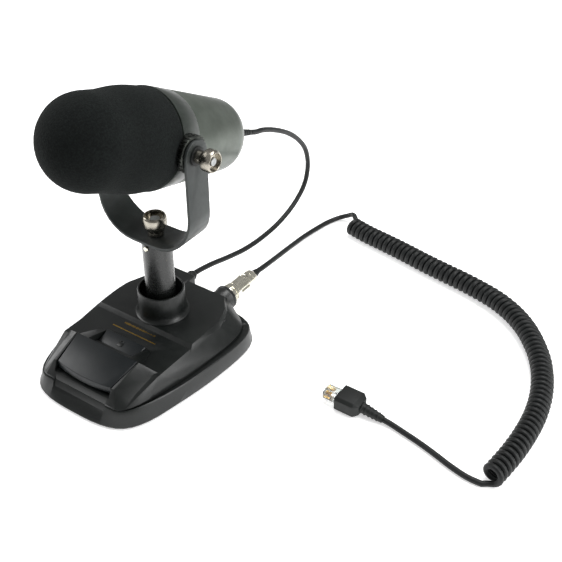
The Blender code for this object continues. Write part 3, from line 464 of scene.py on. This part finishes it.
def smooth_line(points, spacing):
    """Evenly spaced points on a smooth curve through the given ones."""
    points = [Vector(point) for point in points]
    ends = [points[0] * 2 - points[1], *points, points[-1] * 2 - points[-2]]
    fine = []
    for p0, p1, p2, p3 in zip(ends, ends[1:], ends[2:], ends[3:]):
        knots = [0.0]
        for a, b in ((p0, p1), (p1, p2), (p2, p3)):
            knots.append(knots[-1] + max((b - a).length, 1e-6) ** 0.5)
        t0, t1, t2, t3 = knots
        for k in range(12):
            t = t1 + (t2 - t1) * k / 12
            a1 = p0 * ((t1 - t) / (t1 - t0)) + p1 * ((t - t0) / (t1 - t0))
            a2 = p1 * ((t2 - t) / (t2 - t1)) + p2 * ((t - t1) / (t2 - t1))
            a3 = p2 * ((t3 - t) / (t3 - t2)) + p3 * ((t - t2) / (t3 - t2))
            b1 = a1 * ((t2 - t) / (t2 - t0)) + a2 * ((t - t0) / (t2 - t0))
            b2 = a2 * ((t3 - t) / (t3 - t1)) + a3 * ((t - t1) / (t3 - t1))
            fine.append(b1 * ((t2 - t) / (t2 - t1)) + b2 * ((t - t1) / (t2 - t1)))
    fine.append(points[-1])
    lengths = [0.0]
    for a, b in zip(fine, fine[1:]):
        lengths.append(lengths[-1] + (b - a).length)
    count = max(2, round(lengths[-1] / spacing))
    line = []
    index = 0
    for k in range(count + 1):
        goal = lengths[-1] * k / count
        while index < len(lengths) - 2 and lengths[index + 1] < goal:
            index += 1
        part = (goal - lengths[index]) / max(lengths[index + 1] - lengths[index], 1e-9)
        line.append(fine[index].lerp(fine[index + 1], min(max(part, 0.0), 1.0)))
    return line


def length_of(line):
    return sum((b - a).length for a, b in zip(line, line[1:]))


def tube_mesh(name, line, radius, sides=12):
    """A round tube along a line, with a frame carried from point to point and flat closed ends."""
    bm = bmesh.new()
    normal = (line[1] - line[0]).orthogonal().normalized()
    count = len(line)
    rings = []
    for k, point in enumerate(line):
        tangent = (line[min(k + 1, count - 1)] - line[max(k - 1, 0)]).normalized()
        normal = (normal - tangent * normal.dot(tangent)).normalized()
        other = tangent.cross(normal)
        ring = []
        for j in range(sides):
            angle = 2 * math.pi * j / sides
            ring.append(bm.verts.new(point + (normal * math.cos(angle) + other * math.sin(angle)) * radius))
        rings.append(ring)
    for first, second in zip(rings, rings[1:]):
        for j in range(sides):
            bm.faces.new((first[j], first[(j + 1) % sides], second[(j + 1) % sides], second[j]))
    bm.faces.new(rings[0][::-1])
    bm.faces.new(rings[-1])
    return mesh_of(bm, name)


# Repeats, made by Geometry Nodes


def node_group(name, inputs):
    """A new tree with its inputs, and the sockets to read them from."""
    tree = bpy.data.node_groups.new(name, "GeometryNodeTree")
    tree.interface.new_socket("Geometry", in_out="OUTPUT", socket_type="NodeSocketGeometry")
    for label, kind in inputs.items():
        tree.interface.new_socket(label, in_out="INPUT", socket_type=kind)
    return tree, tree.nodes.new("NodeGroupInput").outputs, tree.nodes.new("NodeGroupOutput")


def close_group(tree, end, geometry, material):
    """Ends a tree with real geometry in one material."""
    real = step(tree, "GeometryNodeRealizeInstances", Geometry=geometry)
    painted_mesh = step(tree, "GeometryNodeSetMaterial", Geometry=real.outputs[0], Material=material)
    tree.links.new(painted_mesh.outputs[0], end.inputs[0])


def rib_ring_tree():
    """Upright ribs set round a circle: knurls and teeth."""
    tree, given, end = node_group(
        "Ribs round a circle",
        {
            "Count": "NodeSocketInt",
            "Circle": "NodeSocketFloat",
            "Rib radius": "NodeSocketFloat",
            "Rib length": "NodeSocketFloat",
            "Finish": "NodeSocketMaterial",
        },
    )
    circle = step(tree, "GeometryNodeMeshCircle", Vertices=given["Count"], Radius=given["Circle"])
    rib = step(
        tree, "GeometryNodeMeshCylinder", Vertices=6, Side_Segments=1, Fill_Segments=1,
        Radius=given["Rib radius"], Depth=given["Rib length"],
    )
    ribs = step(tree, "GeometryNodeInstanceOnPoints", Points=circle.outputs[0], Instance=rib.outputs[0])
    close_group(tree, end, ribs.outputs[0], given["Finish"])
    return tree


def bar_row_tree():
    """Flat bars in a row whose heights wander like a sound wave."""
    tree, given, end = node_group(
        "Bars in a row",
        {
            "Count": "NodeSocketInt",
            "Pitch": "NodeSocketVector",
            "Bar": "NodeSocketVector",
            "Lowest": "NodeSocketFloat",
            "Seed": "NodeSocketInt",
            "Finish": "NodeSocketMaterial",
        },
    )
    row = step(tree, "GeometryNodeMeshLine", Count=given["Count"], Offset=given["Pitch"])
    bar = step(tree, "GeometryNodeMeshCube", Size=given["Bar"])
    share = step(tree, "FunctionNodeRandomValue", {"data_type": "FLOAT"}, Seed=given["Seed"])
    tree.links.new(given["Lowest"], share.inputs[2])
    share.inputs[3].default_value = 1.0
    scale = step(tree, "ShaderNodeCombineXYZ", X=1.0, Y=share.outputs[1], Z=1.0)
    bars = step(
        tree, "GeometryNodeInstanceOnPoints", Points=row.outputs[0], Instance=bar.outputs[0],
        Scale=scale.outputs[0],
    )
    close_group(tree, end, bars.outputs[0], given["Finish"])
    return tree


RIB_RING = rib_ring_tree()
BAR_ROW = bar_row_tree()


def grown(name, tree, place, **inputs):
    """Runs a tree with the given inputs and returns its result as a plain mesh at a place."""
    holder = bpy.data.objects.new(name, bpy.data.meshes.new(name))
    bpy.context.scene.collection.objects.link(holder)
    modifier = holder.modifiers.new("repeat", "NODES")
    modifier.node_group = tree
    for item in tree.interface.items_tree:
        if item.in_out == "INPUT":
            modifier[item.identifier] = inputs[item.name.replace(" ", "_")]
    bpy.context.view_layer.update()
    mesh = applied(holder)
    mesh.transform(place)
    return mesh


def rib_ring(name, count, circle, radius, length, place, material, body):
    mesh = grown(
        name, RIB_RING, place, Count=count, Circle=circle * MM, Rib_radius=radius * MM,
        Rib_length=length * MM, Finish=material,
    )
    return add_piece(name, mesh, None, body, (), 50.0)


def bar_row(name, count, pitch, size, lowest, seed, place, material, body):
    mesh = grown(
        name, BAR_ROW, place, Count=count, Pitch=(pitch * MM, 0, 0), Bar=[s * MM for s in size],
        Lowest=lowest, Seed=seed, Finish=material,
    )
    return add_piece(name, mesh, None, body)


# Camera, light and floor


CAMERA_PLACE = (0.4538, -0.4920, 0.5441)
CAMERA_TURN = math.radians(34.51)
CAMERA_RISE = math.radians(36.33)
FOCAL_LENGTH = 62.87


def camera():
    lens = bpy.data.cameras.new("camera")
    lens.sensor_width = 36.0
    lens.lens = FOCAL_LENGTH
    lens.clip_start = 0.01
    view = bpy.data.objects.new("camera", lens)
    view.location = CAMERA_PLACE
    view.rotation_euler = (math.pi / 2 - CAMERA_RISE, 0, CAMERA_TURN)
    bpy.context.scene.collection.objects.link(view)
    bpy.context.scene.camera = view


def soft_box(name, place, target, size, power):
    """A rectangular light that faces the target."""
    light = bpy.data.lights.new(name, "AREA")
    light.shape = "RECTANGLE"
    light.size, light.size_y = size
    light.energy = power
    box = bpy.data.objects.new(name, light)
    box.location = place
    box.rotation_euler = (Vector(place) - Vector(target)).to_track_quat("Z", "Y").to_euler()
    bpy.context.scene.collection.objects.link(box)


def studio():
    """A white room with three soft boxes and a lit floor."""
    scene = bpy.context.scene
    scene.view_settings.view_transform = "Standard"
    world = bpy.data.worlds.new("white room")
    scene.world = world
    world.use_nodes = True
    background = world.node_tree.nodes["Background"]
    background.inputs["Color"].default_value = (1, 1, 1, 1)
    background.inputs["Strength"].default_value = 0.32
    middle = (0.05, 0.03, 0.1)
    soft_box("left box", (-0.8, -0.2, 0.6), middle, (0.4, 0.8), 5.0)
    soft_box("top box", (0.15, 0.35, 1.1), middle, (0.8, 0.5), 9.0)
    soft_box("right box", (0.95, 0.1, 0.5), middle, (0.5, 0.9), 7.0)
    bm = bmesh.new()
    bmesh.ops.create_grid(bm, x_segments=1, y_segments=1, size=6.0)
    floor = add_piece("floor", mesh_of(bm, "floor"), WHITE, None)


# Cords

# Points in mm from the foot of the post: from the head to the base
LINK_ROUTE = (
    (-0.9, 149.2, 137.2), (-1.9, 169.7, 128.1), (-2.8, 194.3, 113.5), (-3.7, 213.0, 97.6), (-4.7, 225.6, 81.7),
    (-5.6, 231.5, 61.8), (-6.5, 227.6, 42.4), (-7.5, 212.4, 28.0), (-8.4, 188.6, 18.6), (-9.4, 161.3, 14.9),
    (-10.5, 133.2, 15.6), (-11.7, 106.8, 20.2), (-13.0, 84.0, 25.2),
)
# From the round connector to the coil
LEAD_1_ROUTE = (
    (24.9, 112.0, 20.6), (23.2, 127.2, 17.8), (19.9, 147.4, 13.0), (16.6, 172.7, 8.0), (14.7, 197.1, 4.2),
    (15.9, 217.2, 2.7), (19.1, 234.3, 2.6), (25.0, 246.4, 3.6), (32.6, 249.6, 7.0), (39.4, 247.6, 11.6),
    (44.6, 242.6, 13.0),
)
# The line that the coil winds round, at one height
COIL_ROUTE = (
    (47.2, 232.6), (69.2, 227.6), (91.4, 224.4), (114.4, 220.6), (137.0, 216.2), (158.6, 212.8),
    (179.4, 209.8), (199.6, 205.8), (218.6, 200.4), (237.2, 191.4), (253.6, 179.4), (268.0, 164.4),
    (280.4, 147.8), (290.6, 128.8), (298.0, 109.2), (302.6, 90.0), (305.0, 71.6), (305.8, 52.6),
    (305.4, 34.4), (304.0, 18.0), (302.6, 5.2),
)
COIL_Z = 9.5
# From the coil to the plug
LEAD_2_ROUTE = (
    (298.6, 1.2, 2.6), (292.4, 0.6, 2.6), (285.1, 0.8, 2.6), (271.5, 3.5, 2.6), (257.0, 7.6, 2.6),
    (242.3, 11.4, 2.6), (227.1, 14.3, 2.8),
)
COIL_PITCH = 5.6
POINTS_A_TURN = 16
CORD_STEP = 0.004  # between the points of a plain stretch of cord
AXIS_STEP = 0.0005  # between the points of the coil's own line


def link_lead():
    """The lead from the head's gland down to the base: one tube on the head's side, one on the base's."""
    start = HEAD @ Vector((0, 0, (GLAND_TIP + GAP) * MM))
    second = HEAD @ Vector((0, 0, (GLAND_TIP + 9.0) * MM))
    end = [spot(*LINK_BEFORE), spot(*LINK_EXIT)]
    line = smooth_line([start, second, *spots(LINK_ROUTE), *end], CORD_STEP)
    middle = len(line) // 2
    for name, node, part, bodies, exit_point in (
        ("link_lead_upper", "link_lead_head", line[: middle + 1], ("head", "yoke"), line[0]),
        ("link_lead_lower", "link_lead_base", line[middle:][::-1], ("base", "yoke"), line[-1]),
    ):
        mesh = tube_mesh(name, part, LEAD_R * MM)
        piece = add_piece(name, mesh, CORD_PVC, None, (node,), 60.0)
        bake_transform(piece)


def coil_line():
    """The turns of the coiled cord round their own line, as points."""
    axis = smooth_line([spot(x, y, COIL_Z) for x, y in COIL_ROUTE], AXIS_STEP)
    turns = round(length_of(axis) / (COIL_PITCH * MM)) + 0.25
    count = int(turns * POINTS_A_TURN)
    radius = (COIL_R - CORD_R) * MM
    line = []
    for k in range(count + 1):
        share = k / count
        place = share * (len(axis) - 1)
        index = min(int(place), len(axis) - 2)
        point = axis[index].lerp(axis[index + 1], place - index)
        along = (axis[min(index + 8, len(axis) - 1)] - axis[max(index - 8, 0)]).normalized()
        side = Vector((-along.y, along.x, 0)).normalized()
        angle = 2 * math.pi * turns * share
        drop = Vector((0, 0, -radius * math.sin(angle)))
        line.append(point + side * radius * math.cos(angle) + drop)
    return line


def curly_cord(far_pieces):
    """One cord from the round connector through its coil to the modular plug's boot."""
    lead_in = [spot(SOCKET_X, SLEEVE_END + GAP, SOCKET_Z), *spots(LEAD_1_ROUTE)]
    turns = coil_line()
    tail = spot(*BOOT_END) + BOOT_OUT * (TAIL_LENGTH + GAP) * MM
    lead_out = [*spots(LEAD_2_ROUTE), tail + BOOT_OUT * 6 * MM, tail]
    first = smooth_line([*lead_in, turns[0], turns[2]], CORD_STEP)[:-2]
    last = smooth_line([turns[-3], turns[-1], *lead_out], CORD_STEP)[2:]
    line = first + turns[1:-1] + last
    mesh = tube_mesh("curly_cord", line, CORD_R * MM)
    nodes = ("cord_lead_socket", "cord_coil", "cord_lead_plug")
    cord = add_piece("curly_cord", mesh, CORD_PVC, "base", nodes, 60.0)


# Modular plug and its boot


BOOT_RIBS = 5
BOOT_RIB_R = 0.75
CONTACTS = 8
CONTACT_PITCH = 1.02


def boot_and_plug():
    """The boot with its ribbed tail, the clear plug, its contacts and its latch."""
    boot = refined("cord_boot", "plug_boot", 1.2, RUBBER, "base", 3, 25.0)
    out = facing(BOOT_END, BOOT_OUT)
    rings = []
    for k in range(BOOT_RIBS):
        centre = (4.35 - 0.28 * k, 4.2 + 3.6 * k)
        rings.append(turned_mesh("boot rib", arc(centre, BOOT_RIB_R, 0, 315, 7), out, 24))
    ribs = add_piece("boot_ribs", joined("boot_ribs", rings), RUBBER, "base", (), 60.0)
    plug = refined("clear_plug", "modular_plug", 0.5, CLEAR, "base", 2)
    latch = refined("plug_latch_tab", "plug_latch", 0.25, CLEAR, "plug_latch", 2)
    nose = Vector(BOOT_NOSE)
    half_row = CONTACT_PITCH * (CONTACTS - 1) / 2
    first = spot(nose.x - PLUG_LENGTH + 3.2, nose.y - half_row, nose.z - 1.9)
    place = Matrix.Translation(first) @ Matrix.Rotation(math.pi / 2, 4, "Z")
    blade = (0.35, 5.0, 2.2)
    contacts = bar_row("plug_contacts", CONTACTS, CONTACT_PITCH, blade, 1.0, 3, place, CONTACT, "base")
    return [boot, ribs, plug, latch, contacts]


# Head


def ring_radius(s):
    """The outer radius of the tapered ring and housing, at a place along the head's axis."""
    share = (s - RING_FRONT) / (HOUSING_REAR - RING_FRONT)
    return RING_FRONT_R + (HOUSING_REAR_R - RING_FRONT_R) * share


def housing():
    """The tapered housing with its domed rear and the hole for the gland."""
    hole = 3.35
    start, wall = HOUSING_START, HOUSING_WALL
    outside = dome(HOUSING_REAR, HOUSING_END, HOUSING_REAR_R, 18, hole)[::-1]
    inside = dome(HOUSING_REAR, HOUSING_END - wall, HOUSING_REAR_R - wall, 12, hole)
    lip = [(ring_radius(start + 0.7), start + 0.7), (ring_radius(start) - 0.35, start)]
    profile = [*outside, *lip, (ring_radius(start) - wall, start), *inside]
    turned("housing_shell", profile, HEAD, HOUSING, "head", ("head_body",), 128)


def band():
    """The darker ring between the foam and the housing."""
    refined("housing_band", "front_ring", 0.35, RING_PAINT, "head", 2, 40.0)


def foam():
    """The windscreen: a thick foam cap, slightly lumpy, tucked in at its rear rim."""
    outside = dome(FOAM_SHOULDER, FOAM_FRONT, FOAM_FRONT_R, 26)
    start = FOAM_REAR - 2.2
    side = []
    for k in range(24):
        share = k / 24
        belly = FOAM_BELLY * math.sin(math.pi * min(share * 1.25, 1.0)) ** 1.5
        radius = FOAM_REAR_R + (FOAM_FRONT_R - FOAM_REAR_R) * share + belly
        side.append((radius, start + (FOAM_SHOULDER - start) * share))
    rim = [(FOAM_BORE_R, FOAM_REAR), (37.8, FOAM_REAR), (FOAM_REAR_R - 0.4, FOAM_REAR - 0.7)]
    hollow = dome(FOAM_BORE_START, FOAM_BORE_END, FOAM_BORE_R, 8)[::-1]
    mesh = turned_mesh("foam", [*hollow, *rim, *side, *outside], HEAD, 160)
    obj = bpy.data.objects.new("foam", mesh)
    bpy.context.scene.collection.objects.link(obj)
    for size, strength in ((0.022, 0.00035), (0.0016, 0.00016)):
        lumps = bpy.data.textures.new("foam lumps", "CLOUDS")
        lumps.noise_scale = size
        lumps.noise_depth = 2
        push = obj.modifiers.new("lumps", "DISPLACE")
        push.texture = lumps
        push.texture_coords = "LOCAL"
        push.strength = strength
        push.mid_level = 0.6
    bpy.context.view_layer.update()
    piece = add_piece("foam_cap", applied(obj), FOAM, "head", ("foam_windscreen",), 80.0)


# Radius, neck, foot, grip, bore, depth of the well and width of the lip of each thumb nut
TILT_KNOB = (8.6, 5.2, 4.5, 8.0, 3.3, 3.0, 1.8)
YOKE_KNOB = (9.7, 6.4, 4.0, 9.0, 4.3, 5.0, 2.0)
TILT_KNOB_LENGTH = 15.6
YOKE_KNOB_START = 109.54
WASHER_T = 1.0
KNURL_DEPTH = 0.14


def pivot_side(side, label):
    """The toothed discs, washer and knurled thumb nut of one side."""
    out = facing((0, 0, PIVOT_Z), (side, 0, 0))
    refined(f"rosette_disc_{label}", f"rosette_{label}", 0.4, ROSETTE_METAL, "head", 2)
    teeth = out @ Matrix.Translation((0, 0, 42.3 * MM))
    rib_ring(f"rosette_teeth_{label}", 28, 14.0, 0.9, 4.0, teeth, ROSETTE_METAL, "head")
    refined(f"washer_{label}", f"pivot_washer_{label}", 0.25, RUBBER, "yoke", 2)
    start = YOKE_HALF + WASHER_T + 2 * GAP
    knob = f"tilt_knob_{label}"
    knurled_nut(f"thumb_nut_{label}", knob, out, start, start + TILT_KNOB_LENGTH, TILT_KNOB)


def knurled_nut(name, body, place, start, end, sizes):
    """A thumb nut: a neck, a cone, a straight-knurled grip and a dished end with a bore."""
    radius, neck, foot, grip, bore, depth, lip = sizes
    well = end - depth
    dish = radius - lip
    profile = [
        (bore, start), (neck - 0.3, start), (neck, start + 0.3), (neck, start + foot - 0.4),
        (neck + 0.5, start + foot), (radius - 1.0, end - grip - 0.5), (radius - 0.3, end - grip),
        (radius, end - grip + 0.5), (radius, end - 1.9),
        (radius - 0.25, end - 1.2), (radius - 0.8, end - 0.4), (radius - 1.2, end), (dish + 0.25, end),
        (dish, end - 0.25), (dish - 0.1, well), (bore, well),
    ]
    knurled_rows = {7, 8}

    def ripple(row, k):
        return -KNURL_DEPTH if row in knurled_rows and k % 3 == 0 else 0.0

    turned(name, profile, place, DARK_NICKEL, body, (body,), 180, 28.0, ripple)


def yoke_strap():
    """The bent steel strip, with its edges eased and painted."""
    refined("yoke_strap", "yoke", 0.45, YOKE_PAINT, "yoke", 3, 40.0, 30.0)


# Post


BUSH_TOP, BUSH_END = 104.2, 92.2
BUSH_R = 10.2
BUSH_BORE = 4.3
COLLAR_FLARE_R, COLLAR_FLARE_OUT = 6.0, 3.3


def post():
    """The lacquered tube with its cap, the cup it stands in, its set screw and the nut on top."""
    refined("post_barrel", "post_tube", 0.0, LACQUER, "base", 2, 40.0)
    bush = [
        (BUSH_BORE, POST_TOP), (POST_R - 0.7, POST_TOP), (POST_R - 0.1, POST_TOP - 0.6),
        (POST_R, POST_TOP - 1.2), (POST_R, BUSH_TOP + 0.2), (POST_R - 0.2, BUSH_TOP), (BUSH_R, BUSH_TOP), (BUSH_R, BUSH_END),
        (BUSH_BORE, BUSH_END),
    ]
    turned("post_cap", bush, UPRIGHT, LACQUER, "base", ("post_bush",), 96)
    foot = PLATEAU_Z + GAP
    flare = []
    for degrees in range(0, 91, 10):
        angle = math.radians(degrees)
        out = COLLAR_R + 3.8 - COLLAR_FLARE_OUT * math.sin(angle)
        flare.append((out, foot + COLLAR_FLARE_R - COLLAR_FLARE_R * math.cos(angle)))
    collar = [
        (COLLAR_R - 1.7, foot), *flare, (COLLAR_R, COLLAR_TOP - 0.8), (COLLAR_R - 0.3, COLLAR_TOP - 0.2),
        (COLLAR_R - 0.7, COLLAR_TOP), (COLLAR_R - 1.3, COLLAR_TOP), (COLLAR_R - 1.6, COLLAR_TOP - 0.25),
        (COLLAR_R - 1.7, COLLAR_TOP - 0.7),
    ]
    turned("collar_cup", collar, UPRIGHT, SATIN_ABS, "base", ("post_collar",), 128)
    refined("set_screw", "post_set_screw", 0.3, BRIGHT_NICKEL, "base", 2)
    knurled_nut("yoke_nut", "yoke_knob", UPRIGHT, YOKE_KNOB_START, YOKE_KNOB_TOP, YOKE_KNOB)


# Base


def base_shells():
    """The tray, the cover, the talk bar and the lock button."""
    refined("tray_shell", "base_tray", 0.7, SATIN_ABS, "base", 3, 24.0, 40.0)
    refined("cover_shell", "base_cover", 0.9, SATIN_ABS, "base", 3, 17.0, 40.0)
    refined("talk_bar_cap", "talk_bar", 1.1, BUTTON_ABS, "talk_bar", 3, 25.0)
    refined("lock_cap", "lock_button", 1.4, BUTTON_ABS, "lock_button", 3, 25.0)


# How far in front of the post the lock button's sloping top starts and ends, and its height there
LOCK_FRONT, LOCK_REAR = (59.2, 32.7), (45.5, 28.9)
PADLOCK_PLACE = (0, -52.6, 30.85)
PADLOCK_SIZE = (5.2, 3.6, 0.5)


def padlock_mark():
    """A small raised padlock on the lock button."""
    slope = math.atan2(LOCK_FRONT[1] - LOCK_REAR[1], LOCK_FRONT[0] - LOCK_REAR[0])
    place = Matrix.Translation(spot(*PADLOCK_PLACE)) @ Matrix.Rotation(slope, 4, "X")
    size = [side * MM for side in PADLOCK_SIZE]
    bm = bmesh.new()
    bmesh.ops.create_cube(bm, size=1.0, matrix=Matrix.Diagonal((*size, 1)))
    bmesh.ops.bevel(bm, geom=bm.edges[:], offset=0.2 * MM, segments=2, profile=0.5, affect="EDGES")
    bm.transform(place @ Matrix.Translation((0, -1.0 * MM, 0)))
    add_piece("padlock_body", mesh_of(bm, "padlock"), SATIN_ABS, "lock_button", ())
    line = []
    for k in range(17):
        angle = math.pi * k / 16
        line.append(place @ (Vector((1.5 * math.cos(angle), 1.0 + 1.6 * math.sin(angle), 0.05)) * MM))
    shackle = tube_mesh("shackle", line, 0.3 * MM, 8)
    add_piece("padlock_shackle", shackle, SATIN_ABS, "lock_button", ())


def gold_ornament():
    """A sound wave over a fine line, stamped in gold on the deck behind the lock button."""
    top = DECK_Z + 0.02
    wave = Matrix.Translation(spot(-16.2, -29.5, top))
    bar_row("gold_wave", 34, 0.98, (0.5, 2.6, 0.06), 0.25, 11, wave, GOLD_FOIL, "base")
    dashes = Matrix.Translation(spot(-22.5, -37.0, top))
    bar_row("gold_dashes", 46, 1.0, (0.7, 1.3, 0.06), 0.7, 5, dashes, GOLD_FOIL, "base")


def inner_parts():
    """Parts behind the shells keep their solids and get their own finishes."""
    finishes = {
        STEEL: (
            "ballast_weight", "base_screw_1", "base_screw_2", "base_screw_3", "base_screw_4", "talk_bar_pin",
            "post_nut", "post_stud", "pivot_stud_right", "pivot_stud_left",
        ),
        BOARD: ("circuit_board", "head_board"),
        BLACK_NYLON: ("talk_switch", "lock_switch", "socket_insert"),
        RUBBER: ("foot_1", "foot_2", "foot_3", "foot_4", "capsule_mount"),
        BRIGHT_NICKEL: ("capsule",),
        PUNCHED: ("grille_basket",),
    }
    for material, nodes in finishes.items():
        for node in nodes:
            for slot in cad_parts[node].material_slots:
                slot.material = material


SPRING_TURNS = 6
POINTS_A_SPRING_TURN = 24
SPRING_WIRE_R = 0.5


def spring(node):
    """A coil spring under a button: a helix of wire filling the node's height and width."""
    corners = [corner.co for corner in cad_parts[node].data.vertices]
    low = min(corner.z for corner in corners)
    high = max(corner.z for corner in corners)
    middle = sum(corners, Vector()) / len(corners)
    wire = SPRING_WIRE_R * MM
    reach = max(corner.x - middle.x for corner in corners) - wire
    steps = POINTS_A_SPRING_TURN * SPRING_TURNS
    line = []
    for k in range(steps + 1):
        angle = 2 * math.pi * k / POINTS_A_SPRING_TURN
        height = low + wire + (high - low - 2 * wire) * k / steps
        x, y = middle.x + reach * math.cos(angle), middle.y + reach * math.sin(angle)
        line.append(Vector((x, y, height)))
    piece = add_piece(node + "_coil", tube_mesh(node, line, wire, 10), STEEL, "base", (node,))
    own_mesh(piece)


# Round connector and glands


CORE_R = 5.9  # the part of the plug that goes through the coupling ring


def connector():
    """Panel socket, coupling ring, shell with raised flats, cord clamp and sleeve."""
    face = SOCKET_FACE
    bore = CORE_R + GAP
    socket = [
        (bore, face), (10.4, face), (11.0, face - 0.5), (11.0, face - 2.2), (10.6, face - 2.6),
        (10.4, face - 3.0), (10.4, 37.0), (bore, 37.0),
    ]
    turned("socket_shell", socket, CONNECTOR, BLACK_NYLON, "base", ("panel_socket",), 96)
    start, end = face + GAP, RING_END
    coupling = [
        (bore, end), (8.0, end), (8.5, end - 0.5), (8.6, end - 0.9), (8.6, start + 5.4), (8.1, start + 5.1),
        (8.1, start + 4.5), (8.6, start + 4.2), (8.6, start + 0.9), (8.4, start + 0.3), (8.0, start),
        (bore, start),
    ]
    ring = ("coupling_ring",)
    turned("coupling_sleeve", coupling, CONNECTOR, BRIGHT_NICKEL, "coupling_ring", ring, 96)
    grip = CONNECTOR @ Matrix.Translation((0, 0, (start + 2.5) * MM))
    rib_ring("coupling_grip", 36, 8.35, 0.42, 3.2, grip, BRIGHT_NICKEL, "coupling_ring")
    start, end = SHELL_START, SHELL_END
    shell = [
        (0, end), (6.6, end), (7.3, end - 0.4), (7.7, end - 1.0), (7.7, end - 2.4), (7.0, end - 3.0),
        (7.0, start + 3.2), (7.7, start + 2.6), (7.7, start + 0.5), (7.3, start), (CORE_R, start),
        (CORE_R, face - 8), (0, face - 8),
    ]
    turned("shell_body", shell, CONNECTOR, BRIGHT_NICKEL, "base", ("plug_shell",), 96)
    panels = CONNECTOR @ Matrix.Translation((0, 0, (start + end) / 2 * MM))
    rib_ring("shell_panels", 6, 5.9, 1.9, 11.6, panels, BRIGHT_NICKEL, "base")
    clamp = [
        (0, 95.0), (5.2, 95.0), (5.6, 94.7), (6.6, 93.2), (6.8, 92.8), (6.8, 89.4), (6.2, 89.0), (6.2, 87.2),
        (6.8, 86.8), (6.8, 84.8), (6.4, 84.3), (0, 84.3),
    ]
    turned("cord_clamp", clamp, CONNECTOR, BRIGHT_NICKEL, "base", ("plug_clamp",), 72)
    sleeve = [
        (0, SLEEVE_END), (2.5, SLEEVE_END), (2.85, 102.7), (3.0, 101.6), (2.7, 101.3), (2.7, 100.7),
        (3.3, 100.3), (3.5, 99.2), (3.1, 98.9), (3.1, 98.3), (3.7, 97.9), (4.1, 96.0), (4.1, 95.3), (0, 95.3),
    ]
    turned("cord_sleeve", sleeve, CONNECTOR, RUBBER, "base", ("plug_sleeve",), 48)


def glands():
    """The grommet on the base and the ribbed strain relief at the rear of the head."""
    refined("base_grommet", "base_gland", 0.4, RUBBER, "base", 2)
    end, tip = HOUSING_END, GLAND_TIP
    profile = [(0, tip), (2.1, tip), (2.3, tip - 0.3)]
    for k in range(5):
        s = tip - 2.0 - 3.6 * k
        r = 2.35 + 0.16 * k
        profile += [(r + 0.35, s), (r + 0.35, s - 1.9), (r - 0.05, s - 2.2), (r - 0.05, s - 3.3)]
    profile += [(3.5, end + 14.5), (3.75, end + 13.5), (3.75, end + 0.9), (3.4, end + 0.3), (3.05, end + 0.3)]
    profile += [(3.05, 99.2), (5.25, 99.2), (5.25, 97.2), (0, 97.2)]
    turned("head_strain_relief", profile, HEAD, RUBBER, "head", ("head_gland",), 48)


camera()
studio()
curly_cord(boot_and_plug())
link_lead()
housing()
band()
foam()
for side, label in ((RIGHT, "right"), (LEFT, "left")):
    pivot_side(side, label)
yoke_strap()
post()
base_shells()
padlock_mark()
gold_ornament()
connector()
glands()
inner_parts()
spring("talk_bar_spring")
spring("lock_spring")
